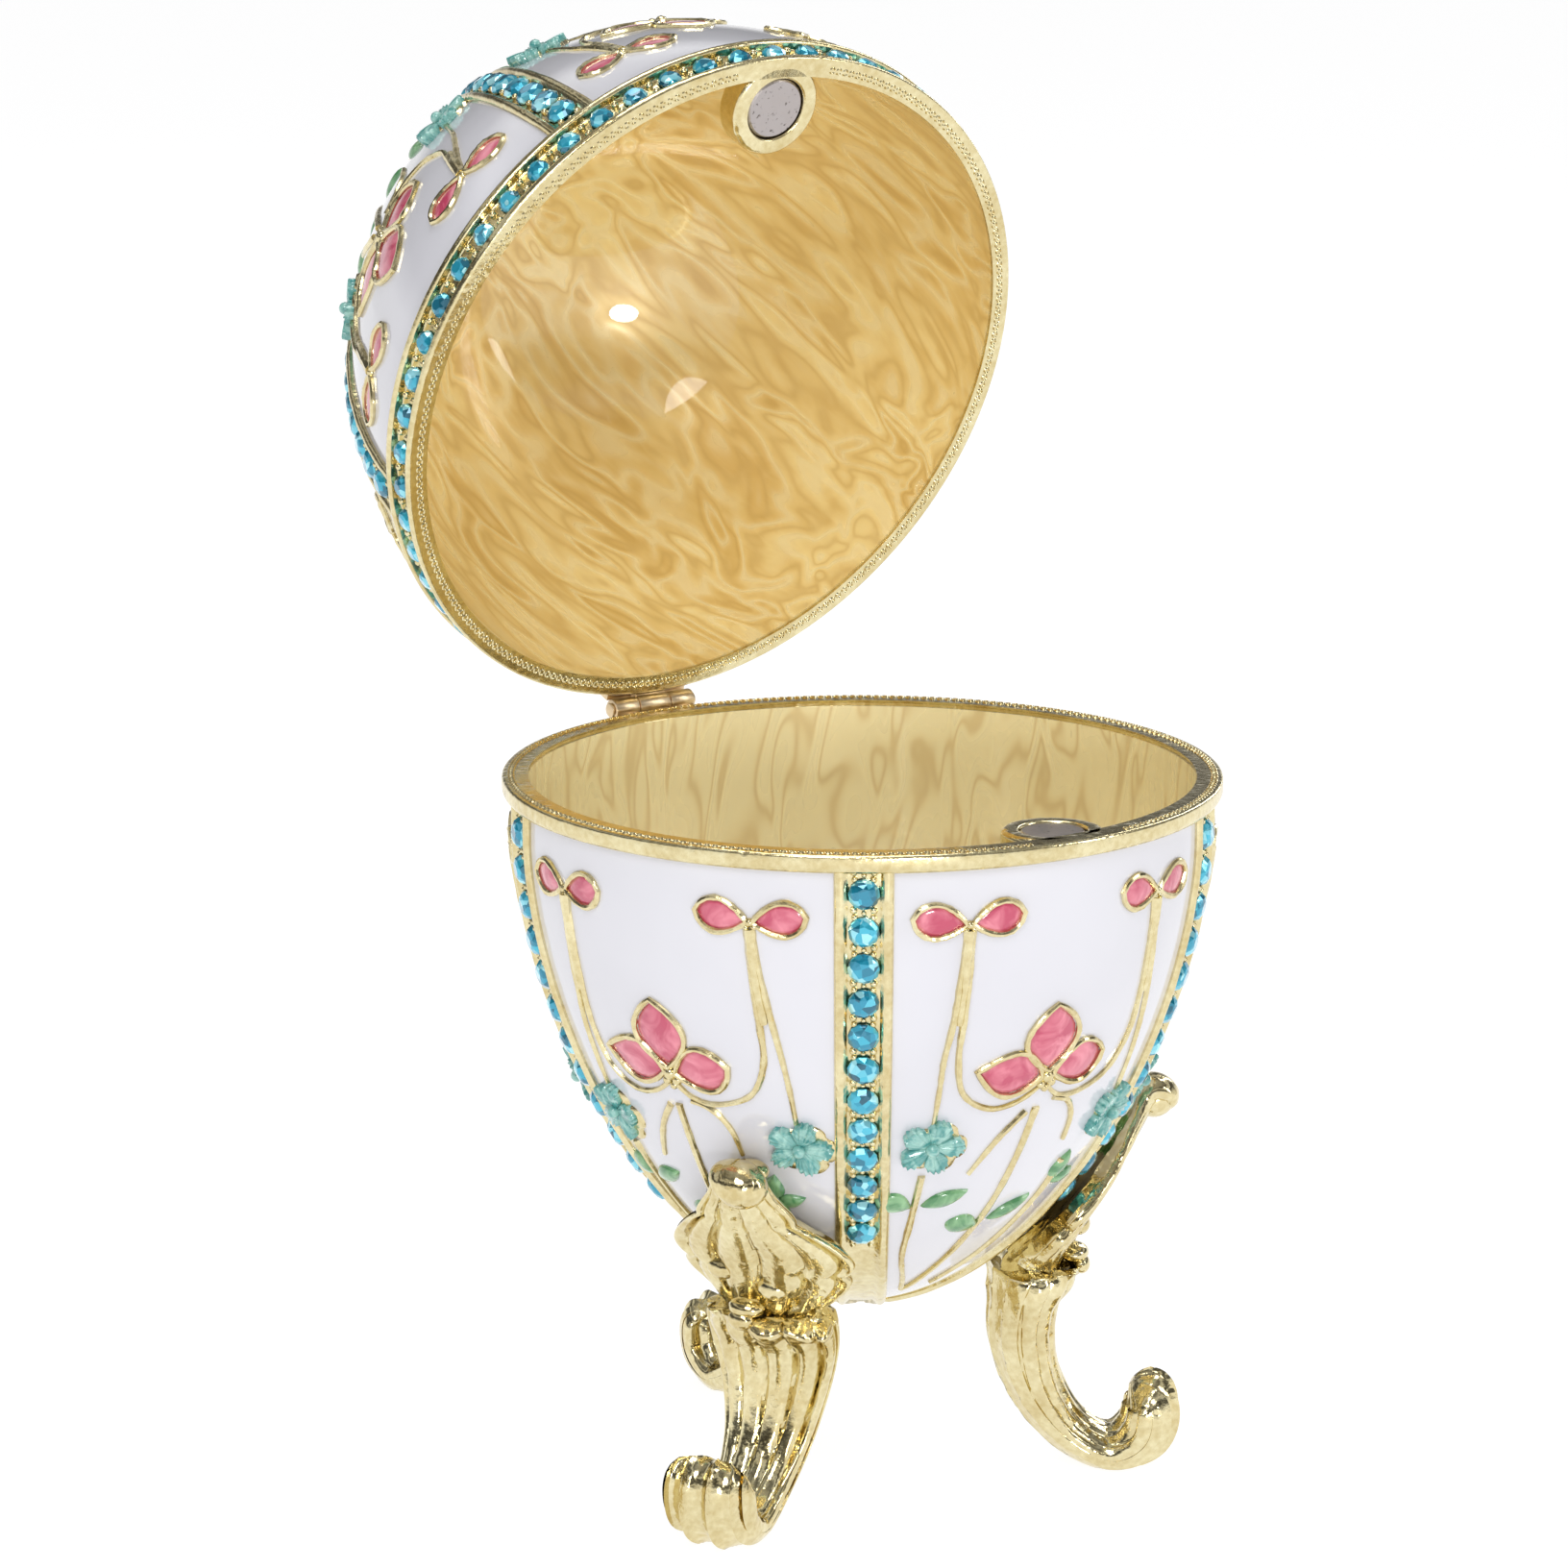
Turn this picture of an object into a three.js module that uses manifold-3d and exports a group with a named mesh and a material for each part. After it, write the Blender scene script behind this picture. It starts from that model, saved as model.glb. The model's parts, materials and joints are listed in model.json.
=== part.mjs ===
// Jewelled egg trinket box, cast metal with enamel: a bowl on three scroll legs and a hinged lid, shown open.
// Millimetres, +Z up. The front, with the magnet catch, faces -Y and the hinge is at the back, on +Y.
// Heights inside the functions are measured from the plane where bowl and lid meet.
import * as THREE from 'three';
import { mergeVertices } from 'three/addons/utils/BufferGeometryUtils.js';
import Module from 'manifold-3d';

const wasm = await Module();
wasm.setup();

// Bowl and lid
const rimRadius = 28;
const rimHeight = 1.4;
const rimOverhang = 0.7;
const wall = 1.2;
const bowlDepth = 42.6;
const bowlShoulder = 3.3;
const lidOverhang = 0.3;
const lipHeight = 0.7;
const lidHeight = 33.3;
const lidShoulder = 1.7;
const edgeBevel = 0.2;
const rimGap = 0.2;

// Jewelled strips that part the panels, and the jewelled band round the lid
const panelCount = 5;
const stripWidth = 4.3;
const railWidth = 0.9;
const railHeight = 0.45;
const borderWidth = 0.6;

// Stones
const stoneSize = 2.3;
const stonePitch = 2.87;
const stoneHeight = 0.75;
const bandStoneSize = 2;
const bandStoneCount = 55;
const bowlRowStart = 3;
const bowlRowStones = 12;
const lidRowStart = 5.2;
const lidRowStones = 10;
const settingGap = 0.12;

// Raised flowers of each panel
const petalLength = 6.2;
const petalHeight = 0.45;
const petalRoot = 0.6;
const rosetteSize = 4.6;
const rosetteHeight = 0.8;
const bowlFlowerAt = 18.7;
const bowlRosetteAt = 24;
const lidFlowerAt = 16.5;
const lidRosetteAt = 21.5;
const rosetteTurn = THREE.MathUtils.degToRad(23);

// Magnet catch
const magnetSize = 4.9;
const magnetDepth = 1.6;
const magnetGap = 0.12;
const lugSize = 7.8;
const lugThickness = 2.6;
const magnetInset = 4.1;

// Hinge
const openAngle = THREE.MathUtils.degToRad(70.3);
const barrelRadius = 0.85;
const barrelLength = 7.7;
const middleKnuckle = 3;
const knuckleGap = 0.12;
const pinRadius = 0.4;
const pinGap = 0.08;
const pinHead = 0.25;
const hingeReach = 1.3;
const leafThickness = 0.6;
const leafGap = 0.1;

// Legs
const standHeight = 56.6;
const legCount = 3;
const legTurn = THREE.MathUtils.degToRad(-6.4);
const legWidth = 14.8;
const ribCount = 5;
const ribHeight = 0.32;
const legGap = 0.15;

const bowlBody = rimRadius - rimOverhang;
const bowl = { body: bowlBody, height: bowlDepth, shoulder: bowlShoulder, power: 1.673, round: 0.553 };
const lid = { body: rimRadius, height: lidHeight, shoulder: lidShoulder, power: 1.587, round: 0.445 };
const lidRadius = rimRadius + lidOverhang;
const bandWidth = bandStoneSize + 0.1;
const bandTop = lipHeight + bandWidth;
const lidEdgeTop = bandTop + borderWidth;
const bandFloor = lid.body - stoneHeight / 2;
const hingeY = rimRadius + hingeReach;
const hingeZ = rimGap / 2;
const magnetReach = rimRadius - magnetInset;
const sector = 2 * Math.PI / panelCount;
const circleSides = 12;
const barrelSides = 8;

// Radius of an oval shell at a height from its rim
function ovalRadius(oval, height) {
  const rise = THREE.MathUtils.clamp((height - oval.shoulder) / (oval.height - oval.shoulder), 0, 1);
  return oval.body * (1 - rise ** oval.power) ** oval.round;
}

// The place on an oval shell at an angle and height, with its x sideways, y towards the pole and z outwards
function surfaceFrame(oval, angle, height, lift = 0) {
  const step = 0.05;
  const slope = (ovalRadius(oval, height + step) - ovalRadius(oval, height - step)) / (2 * step);
  const radial = new THREE.Vector3(Math.cos(angle), Math.sin(angle), 0);
  const sideways = new THREE.Vector3(-Math.sin(angle), Math.cos(angle), 0);
  const normal = radial.clone().setZ(-slope).normalize();
  const toPole = normal.clone().cross(sideways);
  const place = radial.multiplyScalar(ovalRadius(oval, height)).setZ(height).addScaledVector(normal, lift);
  return new THREE.Matrix4().makeBasis(sideways, toPole, normal).setPosition(place);
}

// A closed geometry as a solid: shared corners merged, collapsed triangles at poles dropped
function solid(geometry) {
  const bare = geometry.clone();
  bare.deleteAttribute('normal');
  bare.deleteAttribute('uv');
  const merged = mergeVertices(bare, 1e-4);
  const corners = [];
  for (let i = 0; i < merged.index.count; i += 3) {
    const [a, b, c] = [merged.index.getX(i), merged.index.getX(i + 1), merged.index.getX(i + 2)];
    if (a !== b && b !== c && c !== a) corners.push(a, b, c);
  }
  const vertProperties = new Float32Array(merged.attributes.position.array);
  return new wasm.Manifold(new wasm.Mesh({ numProp: 3, vertProperties, triVerts: new Uint32Array(corners) }));
}

function geometryOf(body) {
  const { vertProperties, triVerts } = body.getMesh();
  const geometry = new THREE.BufferGeometry();
  geometry.setAttribute('position', new THREE.BufferAttribute(vertProperties, 3));
  geometry.setIndex(new THREE.BufferAttribute(triVerts, 1));
  return geometry;
}

function block(xSpan, ySpan, zSpan) {
  const geometry = new THREE.BoxGeometry(xSpan[1] - xSpan[0], ySpan[1] - ySpan[0], zSpan[1] - zSpan[0]);
  geometry.translate((xSpan[0] + xSpan[1]) / 2, (ySpan[0] + ySpan[1]) / 2, (zSpan[0] + zSpan[1]) / 2);
  return solid(geometry);
}

// An upright disc between two heights
function disc(radius, x, y, zSpan, sides = circleSides) {
  const geometry = new THREE.CylinderGeometry(radius, radius, zSpan[1] - zSpan[0], sides);
  geometry.rotateX(Math.PI / 2);
  geometry.translate(x, y, (zSpan[0] + zSpan[1]) / 2);
  return solid(geometry);
}

// A round bar on the hinge's axis
function axisBar(radius, xSpan) {
  const geometry = new THREE.CylinderGeometry(radius, radius, xSpan[1] - xSpan[0], barrelSides);
  geometry.rotateZ(Math.PI / 2);
  geometry.translate((xSpan[0] + xSpan[1]) / 2, hingeY, hingeZ);
  return solid(geometry);
}

// A turned solid from rows of radius and height, listed upwards
function turned(rows, sides) {
  const outline = rows.map(([radius, height]) => new THREE.Vector2(radius, height));
  const geometry = new THREE.LatheGeometry(outline, sides);
  geometry.rotateX(Math.PI / 2);
  return solid(geometry);
}

// Heights of the rows of an oval from its edge to its pole, closer together near the pole
function ovalHeights(oval, edgeTop, rowCount) {
  const heights = [];
  for (let row = 0; row < rowCount; row += 1) {
    heights.push(edgeTop + (oval.height - edgeTop) * Math.sin(row / rowCount * Math.PI / 2));
  }
  return heights;
}

// Columns of one sector: the two rails of a strip, measured sideways from its middle, then the plain panel
const stripEdge = stripWidth / 2;
const railColumns = [-stripEdge, -stripEdge + railWidth / 2, -stripEdge + railWidth,
  stripEdge - railWidth, stripEdge - railWidth / 2, stripEdge];
const panelColumns = 3;
const columnsPerSector = railColumns.length + panelColumns;

function columnAngle(column, radius) {
  const spread = Math.min(1 / radius, 0.8 * sector / stripWidth);
  const inSector = column % columnsPerSector;
  const start = Math.floor(column / columnsPerSector) * sector;
  if (inSector < railColumns.length) return start + railColumns[inSector] * spread;
  const edge = stripEdge * spread;
  const share = (inSector - railColumns.length + 1) / (panelColumns + 1);
  return start + edge + (sector - 2 * edge) * share;
}

// The outside of a casting, standing on its rim with the pole up: plain edge rows, then rows with the rails
function carvedOval(oval, edgeRows, edgeTop) {
  const rowCount = 7;
  const rows = edgeRows.map(([radius, height]) => ({ radius, height, carved: 0 }));
  for (const height of ovalHeights(oval, edgeTop, rowCount)) {
    rows.push({ radius: ovalRadius(oval, height), height, carved: railHeight });
  }
  rows.push({ radius: 0, height: oval.height, carved: 0 });
  const columns = panelCount * columnsPerSector;
  const outline = rows.map(({ radius, height }) => new THREE.Vector2(radius, height));
  const geometry = new THREE.LatheGeometry(outline, columns);
  geometry.rotateX(Math.PI / 2);
  const position = geometry.attributes.position;
  const point = new THREE.Vector3();
  for (let i = 0; i < position.count; i += 1) {
    const row = rows[i % rows.length];
    const column = Math.floor(i / rows.length) % columns;
    const isRailTop = column % columnsPerSector === 1 || column % columnsPerSector === 4;
    if (row.radius > 0) {
      const angle = Math.PI / 2 + columnAngle(column, row.radius);
      if (row.carved > 0) {
        const lift = isRailTop ? row.carved : 0;
        point.setFromMatrixPosition(surfaceFrame(oval, angle, row.height, lift));
      } else {
        point.set(row.radius * Math.cos(angle), row.radius * Math.sin(angle), row.height);
      }
      position.setXYZ(i, point.x, point.y, point.z);
    }
  }
  return solid(geometry);
}

// The hollow of a casting, open past the rim
function hollow(oval) {
  const inner = { ...oval, body: oval.body - wall, height: oval.height - wall };
  const rows = [[0, -wall], [inner.body, -wall]];
  for (const height of ovalHeights(inner, 0, 5)) rows.push([ovalRadius(inner, height), height]);
  rows.push([0, inner.height]);
  return turned(rows, 18);
}

// A raised petal that points along +y from its root, and a raised round flower
function petal(length) {
  const width = length * 0.72;
  const outline = new THREE.Shape();
  outline.moveTo(0, 0);
  outline.quadraticCurveTo(width, length * 0.45, 0, length);
  outline.quadraticCurveTo(-width, length * 0.45, 0, 0);
  const sink = wall / 2;
  const depth = sink + petalHeight;
  const geometry = new THREE.ExtrudeGeometry(outline, { depth, bevelEnabled: false, curveSegments: 2 });
  return geometry.translate(0, petalRoot, -sink);
}

function rosette() {
  const sink = wall / 2;
  const top = rosetteSize / 2 * 0.7;
  const geometry = new THREE.CylinderGeometry(top, rosetteSize / 2, sink + rosetteHeight, 6);
  geometry.rotateX(Math.PI / 2);
  return geometry.translate(0, 0, (rosetteHeight - sink) / 2);
}

// The flowers of every panel: a three-petal one in the middle and a round one at each side, mirrored by turns
function addFlowers(casting, oval, flowerAt, rosetteAt) {
  const petals = [[180, 1], [128, 0.86], [-82, 0.86]];
  let body = casting;
  for (let panel = 0; panel < panelCount; panel += 1) {
    const middle = Math.PI / 2 + (panel + 0.5) * sector;
    const mirror = panel % 2 ? -1 : 1;
    for (const [turn, share] of petals) {
      const geometry = petal(petalLength * share);
      geometry.rotateZ(THREE.MathUtils.degToRad(turn * mirror));
      body = body.add(solid(geometry.applyMatrix4(surfaceFrame(oval, middle, flowerAt))));
    }
    for (const side of [-1, 1]) {
      const frame = surfaceFrame(oval, middle + side * rosetteTurn, rosetteAt);
      body = body.add(solid(rosette().applyMatrix4(frame)));
    }
  }
  return body;
}

// The catch at the front: a round lug behind the rim with a blind pocket for the magnet
function addCatch(casting, faceZ, inward) {
  const span = (near, far) => [faceZ + near * inward, faceZ + far * inward].sort((a, b) => a - b);
  const keepIn = turned([[0, -lugThickness * 2], [rimRadius - wall, -lugThickness * 2],
    [rimRadius - wall, lugThickness * 2], [0, lugThickness * 2]], 30);
  const lug = disc(lugSize / 2, 0, -magnetReach, span(0, lugThickness)).intersect(keepIn);
  const pocket = disc(magnetSize / 2 + magnetGap, 0, -magnetReach, span(-1, magnetDepth + magnetGap));
  return casting.add(lug).subtract(pocket);
}

function magnet(faceZ, inward) {
  const span = [faceZ, faceZ + magnetDepth * inward].sort((a, b) => a - b);
  return disc(magnetSize / 2, 0, -magnetReach, span);
}

// A row of stones, joined by the beads between them. placeAt gives the place at a distance along the row,
// and parts the distances of a stone's sections from its middle, the bead before it first.
function stoneRow(count, size, pitch, parts, placeAt) {
  const lastStation = parts.length * count;
  const geometry = new THREE.CylinderGeometry(1, 1, 1, 3, lastStation);
  const position = geometry.attributes.position;
  const point = new THREE.Vector3();
  for (let i = 0; i < position.count; i += 1) {
    const station = Math.round((position.getY(i) + 0.5) * lastStation);
    const part = station % parts.length;
    const isBead = part === 0;
    let distance = Math.floor(station / parts.length) * pitch + parts[part];
    if (station === 0) distance += (pitch - size) / 2;
    if (station === lastStation) distance -= (pitch - size) / 2;
    const half = isBead ? size * 0.2 : size / 2;
    const ridge = stoneHeight * (isBead ? 0.45 : 1);
    const sideways = position.getX(i) / Math.sin(Math.PI / 3) * half;
    const height = THREE.MathUtils.lerp(settingGap, ridge, Math.max(position.getZ(i), 0));
    point.set(sideways, 0, height).applyMatrix4(placeAt(distance));
    position.setXYZ(i, point.x, point.y, point.z);
  }
  return solid(geometry);
}

// Distance along an oval's outline, from the rim, turned into a height
function heightAlong(oval) {
  const points = [];
  const steps = 40;
  for (const height of ovalHeights(oval, 0, steps)) {
    points.push(new THREE.Vector2(ovalRadius(oval, height), height));
  }
  const outline = new THREE.SplineCurve(points);
  outline.arcLengthDivisions = steps * 4;
  const length = outline.getLength();
  return (distance) => outline.getPointAt(THREE.MathUtils.clamp(distance / length, 0, 1)).y;
}

function stripRow(oval, strip, start, count) {
  const along = heightAlong(oval);
  const angle = Math.PI / 2 + strip * sector;
  const parts = [-stonePitch / 2, -stoneSize * 0.29, stoneSize * 0.29];
  const placeAt = (distance) => surfaceFrame(oval, angle, along(start + distance));
  return stoneRow(count, stoneSize, stonePitch, parts, placeAt);
}

// The band round the lid, left out behind the hinge leaf
function bandRow() {
  const pitch = 2 * Math.PI / bandStoneCount;
  const hidden = 2 * Math.ceil((barrelLength + bandStoneSize) / 2 / (bandFloor * pitch)) - 1;
  const count = bandStoneCount - hidden;
  const start = Math.PI / 2 + (hidden + 1) / 2 * pitch;
  const middle = (lipHeight + bandTop) / 2;
  return stoneRow(count, bandStoneSize, bandFloor * pitch, [-bandFloor * pitch / 2, 0], (distance) => {
    const angle = start + distance / bandFloor;
    const radial = new THREE.Vector3(Math.cos(angle), Math.sin(angle), 0);
    const sideways = new THREE.Vector3(0, 0, -1);
    const forward = new THREE.Vector3(-Math.sin(angle), Math.cos(angle), 0);
    return new THREE.Matrix4().makeBasis(sideways, forward, radial)
      .setPosition(radial.clone().multiplyScalar(bandFloor).setZ(middle));
  });
}

// Leg: stations from the curled tip, down the leaf, over the collar at the waist, to the curled foot.
// reach is a share of the bowl's radius. drop is one share of the bowl's depth, then of the room below it.
// width, sideways, and depth, across the leg, are shares of the leg's greatest width.
const legStations = [
  { reach: 0.901, drop: 0.664, width: 0.149, depth: 0.068, ribs: 0 },
  { reach: 0.894, drop: 0.627, width: 0.257, depth: 0.128, ribs: 0 },
  { reach: 0.839, drop: 0.617, width: 0.27, depth: 0.149, ribs: 0 },
  { reach: 0.78, drop: 0.671, width: 0.378, depth: 0.135, ribs: 0.4 },
  { reach: 0.714, drop: 0.737, width: 0.703, depth: 0.149, ribs: 1 },
  { reach: 0.63, drop: 0.812, width: 1, depth: 0.176, ribs: 1.2 },
  { reach: 0.549, drop: 0.88, width: 0.77, depth: 0.243, ribs: 1.1 },
  { reach: 0.502, drop: 0.92, width: 0.568, depth: 0.338, ribs: 0.4 },
  { reach: 0.495, drop: 0.944, width: 0.73, depth: 0.473, ribs: 0.7 },
  { reach: 0.473, drop: 1, width: 0.73, depth: 0.365, ribs: 1.2 },
  { reach: 0.469, drop: 1.243, width: 0.622, depth: 0.338, ribs: 1 },
  { reach: 0.513, drop: 1.543, width: 0.5, depth: 0.291, ribs: 0.8 },
  { reach: 0.608, drop: 1.793, width: 0.432, depth: 0.243, ribs: 0.4 },
  { reach: 0.729, drop: 1.907, width: 0.473, depth: 0.23, ribs: 0.2 },
  { reach: 0.824, drop: 1.807, width: 0.514, depth: 0.257, ribs: 1.2 },
  { reach: 0.842, drop: 1.621, width: 0.5, depth: 0.243, ribs: 1.2 },
  { reach: 0.795, drop: 1.521, width: 0.365, depth: 0.149, ribs: 0.6 },
];

function legSolid() {
  const last = legStations.length - 1;
  const places = legStations.map(({ reach, drop }) => {
    const height = -bowlDepth * Math.min(drop, 1) - (standHeight - bowlDepth) * Math.max(drop - 1, 0);
    return new THREE.Vector3(reach * bowl.body, 0, height);
  });
  const spine = new THREE.CatmullRomCurve3(places);
  const geometry = new THREE.CylinderGeometry(1, 1, 1, 4 * ribCount, last);
  const position = geometry.attributes.position;
  const waist = 7;
  for (let i = 0; i < position.count; i += 1) {
    const station = Math.round((0.5 - position.getY(i)) * last);
    const { width, depth, ribs } = legStations[station];
    const middle = spine.getPoint(station / last);
    const tangent = spine.getTangent(station / last);
    const across = new THREE.Vector3(-tangent.z, 0, tangent.x);
    const [sine, cosine] = [position.getX(i), position.getZ(i)];
    const isRim = Math.hypot(sine, cosine) > 0.5;
    const turn = Math.atan2(sine, cosine);
    const face = station > 12 ? 1 : THREE.MathUtils.clamp(cosine * 2, 0, 1);
    const rib = isRim ? ribHeight * ribs * face * Math.cos(2 * ribCount * turn) : 0;
    const side = width * legWidth / 2 * sine;
    const out = depth * legWidth / 2 * cosine + rib * Math.sign(cosine);
    const wrap = station < waist ? side * side / (2 * middle.x) : 0;
    middle.addScaledVector(across, out);
    position.setXYZ(i, middle.x - wrap, side, middle.z);
  }
  return solid(geometry);
}

// What a leg keeps clear of: the bowl grown by the gap and, above the place where it is soldered, the stones
function legClearance(carvedBowl) {
  const centre = bowlShoulder * 3;
  const grow = 1 + legGap / rimRadius;
  const grown = carvedBowl.translate([0, 0, centre]).scale([grow, grow, grow]).translate([0, 0, -centre]);
  const seatDrop = bowlDepth * 0.826;
  const clearBy = stoneHeight + legGap;
  const clear = { ...bowl, body: bowl.body + clearBy, height: bowl.height + clearBy };
  const rows = [[0, rimHeight], [clear.body, rimHeight]];
  for (const height of ovalHeights(clear, bowlShoulder, 12)) {
    if (height < seatDrop) rows.push([ovalRadius(clear, height), height]);
  }
  rows.push([ovalRadius(clear, seatDrop), seatDrop], [0, seatDrop]);
  return grown.add(turned(rows, 40).rotate([0, 180, 0]));
}

// Hinge: three knuckles on one pin. The bowl's leaf has the outer two, the lid's leaf the middle one.
const halfBarrel = barrelLength / 2;
const halfMiddle = middleKnuckle / 2;
const pinHole = () => axisBar(pinRadius + pinGap, [-barrelLength, barrelLength]);

function bowlLeaf() {
  const plateY = [rimRadius + leafGap, rimRadius + leafGap + leafThickness];
  const plateZ = [-rimHeight, -barrelRadius - knuckleGap];
  let leaf = block([-halfBarrel, halfBarrel], plateY, plateZ);
  for (const span of [[-halfBarrel, -halfMiddle - knuckleGap], [halfMiddle + knuckleGap, halfBarrel]]) {
    leaf = leaf.add(block(span, [plateY[0], hingeY], [plateZ[0], hingeZ - barrelRadius / 2]));
    leaf = leaf.add(axisBar(barrelRadius, span));
  }
  return leaf.subtract(pinHole());
}

function lidLeaf() {
  const plateY = [lidRadius + leafGap, lidRadius + leafGap + leafThickness];
  const plateZ = [hingeZ + barrelRadius + knuckleGap, rimGap + bandTop];
  const middleSpan = [-halfMiddle, halfMiddle];
  let leaf = block([-halfBarrel, halfBarrel], plateY, plateZ);
  leaf = leaf.add(block(middleSpan, plateY, [hingeZ + barrelRadius / 2, plateZ[1]]));
  leaf = leaf.add(axisBar(barrelRadius, middleSpan));
  return leaf.subtract(pinHole());
}

function hingePin() {
  const head = pinRadius + pinGap + 0.1;
  return axisBar(pinRadius, [-halfBarrel - pinHead, halfBarrel + pinHead])
    .add(axisBar(head, [-halfBarrel - pinHead, -halfBarrel - knuckleGap / 2]))
    .add(axisBar(head, [halfBarrel + knuckleGap / 2, halfBarrel + pinHead]));
}

// Castings, modelled pole up on the plane of their rim
const bowlEdge = [[0, 0], [rimRadius, 0], [rimRadius, rimHeight - edgeBevel],
  [rimRadius - edgeBevel, rimHeight]];
const lidEdge = [[0, 0], [lidRadius, 0], [lidRadius, lipHeight],
  [bandFloor, lipHeight], [bandFloor, bandTop], [lid.body + railHeight, bandTop],
  [lid.body + railHeight, lidEdgeTop]];
const carvedBowl = carvedOval(bowl, bowlEdge, rimHeight).rotate([0, 180, 0]);
const carvedLid = carvedOval(lid, lidEdge, lidEdgeTop);
const bowlCasting = addFlowers(carvedBowl.rotate([0, 180, 0]), bowl, bowlFlowerAt, bowlRosetteAt)
  .subtract(hollow(bowl)).rotate([0, 180, 0]);
const lidCasting = addFlowers(carvedLid, lid, lidFlowerAt, lidRosetteAt).subtract(hollow(lid));

const gold = new THREE.MeshStandardMaterial({ color: 0xd8bf6a, roughness: 0.25, metalness: 1 });
const enamel = new THREE.MeshStandardMaterial({ color: 0xf2f2f6, roughness: 0.15, metalness: 0 });
const stone = new THREE.MeshStandardMaterial({ color: 0x3aa7c4, roughness: 0.08, metalness: 0 });
const steel = new THREE.MeshStandardMaterial({ color: 0x8d8a88, roughness: 0.3, metalness: 1 });

const egg = new THREE.Group();
const base = new THREE.Group();
const lidGroup = new THREE.Group();
egg.add(base, lidGroup);

function place(group, name, body, material) {
  const mesh = new THREE.Mesh(geometryOf(body), material);
  mesh.name = name;
  group.add(mesh);
}

place(base, 'bowl', addCatch(bowlCasting, 0, -1), enamel);
place(base, 'bowl_magnet', magnet(0, -1), steel);
place(base, 'hinge_bowl_leaf', bowlLeaf(), gold);
place(base, 'hinge_pin', hingePin(), gold);
const stoneTurn = [0, 180, 0];
for (let strip = 0; strip < panelCount; strip += 1) {
  const row = stripRow(bowl, -strip, bowlRowStart, bowlRowStones).rotate(stoneTurn);
  place(base, `bowl_stone_row_${strip + 1}`, row, stone);
}

const floorSpan = [-3 * rimRadius, 3 * rimRadius];
const floorBlock = block(floorSpan, floorSpan, [-3 * standHeight, -standHeight]);
const clearance = legClearance(carvedBowl);
const legNames = ['leg_back', 'leg_left', 'leg_right'];
for (let leg = 0; leg < legCount; leg += 1) {
  const turn = THREE.MathUtils.radToDeg(Math.PI / 2 + legTurn) + leg * 360 / legCount;
  const body = legSolid().rotate([0, 0, turn]).subtract(clearance).subtract(floorBlock);
  place(base, legNames[leg], body, gold);
}

// The lid is modelled shut, with its rim just above the bowl's, and swung open about the hinge
const raise = (body) => body.translate([0, 0, rimGap]);
const shut = new THREE.Group();
shut.position.set(0, -hingeY, -hingeZ);
place(shut, 'lid', raise(addCatch(lidCasting, 0, 1)), enamel);
place(shut, 'lid_magnet', raise(magnet(0, 1)), steel);
place(shut, 'hinge_lid_leaf', lidLeaf(), gold);
place(shut, 'lid_stone_band', raise(bandRow()), stone);
for (let strip = 0; strip < panelCount; strip += 1) {
  place(shut, `lid_stone_row_${strip + 1}`, raise(stripRow(lid, strip, lidRowStart, lidRowStones)), stone);
}
lidGroup.add(shut);
lidGroup.position.set(0, hingeY, hingeZ);
lidGroup.rotation.x = -openAngle;

// The origin is on the table, under the middle of the open box
const bounds = new THREE.Box3().setFromObject(egg, true);
const middle = bounds.getCenter(new THREE.Vector3());
egg.position.set(-middle.x, -middle.y, -bounds.min.z);

export default egg;
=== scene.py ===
import json
import math
import random

import bmesh
import bpy
from mathutils import Matrix, Vector, noise


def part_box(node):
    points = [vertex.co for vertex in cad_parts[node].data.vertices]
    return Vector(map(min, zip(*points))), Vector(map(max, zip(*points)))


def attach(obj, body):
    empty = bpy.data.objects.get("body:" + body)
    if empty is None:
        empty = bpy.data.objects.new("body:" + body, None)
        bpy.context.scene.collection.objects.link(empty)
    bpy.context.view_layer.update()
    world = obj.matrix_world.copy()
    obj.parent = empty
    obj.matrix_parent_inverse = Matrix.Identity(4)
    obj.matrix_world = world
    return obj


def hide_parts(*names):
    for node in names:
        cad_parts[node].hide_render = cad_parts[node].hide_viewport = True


# Jewelled egg trinket box, open: enamelled bowl and lid, set stones, raised flowers and three cast legs.
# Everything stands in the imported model's own place. Lengths in the dictionaries are in mm unless they say
# otherwise, and the meshes are in metres.
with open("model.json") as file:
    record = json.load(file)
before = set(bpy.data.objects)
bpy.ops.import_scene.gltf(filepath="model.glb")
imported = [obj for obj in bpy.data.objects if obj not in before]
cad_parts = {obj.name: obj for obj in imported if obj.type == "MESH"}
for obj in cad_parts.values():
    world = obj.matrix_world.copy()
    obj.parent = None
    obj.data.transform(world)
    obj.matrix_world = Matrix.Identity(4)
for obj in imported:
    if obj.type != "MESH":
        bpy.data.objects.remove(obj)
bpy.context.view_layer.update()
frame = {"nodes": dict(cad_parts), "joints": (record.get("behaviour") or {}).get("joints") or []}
print("frame loaded:", len(frame["nodes"]), "nodes")

mm = 0.001
random.seed(7)

# Where the two castings stand, from the frame: the hinge gives the rim plane, the back and the open angle
joint = frame["joints"][0]
hingePoint = Vector(joint["pos_m"])
openAngle = math.radians(joint["range_deg"][1])
place = {"rimRadius": 28.0, "hingeReach": 1.3, "rimGap": 0.2}
axisY = hingePoint.y - (place["rimRadius"] + place["hingeReach"]) * mm
rimCentre = Vector((0, axisY, hingePoint.z - place["rimGap"] / 2 * mm))

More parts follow.
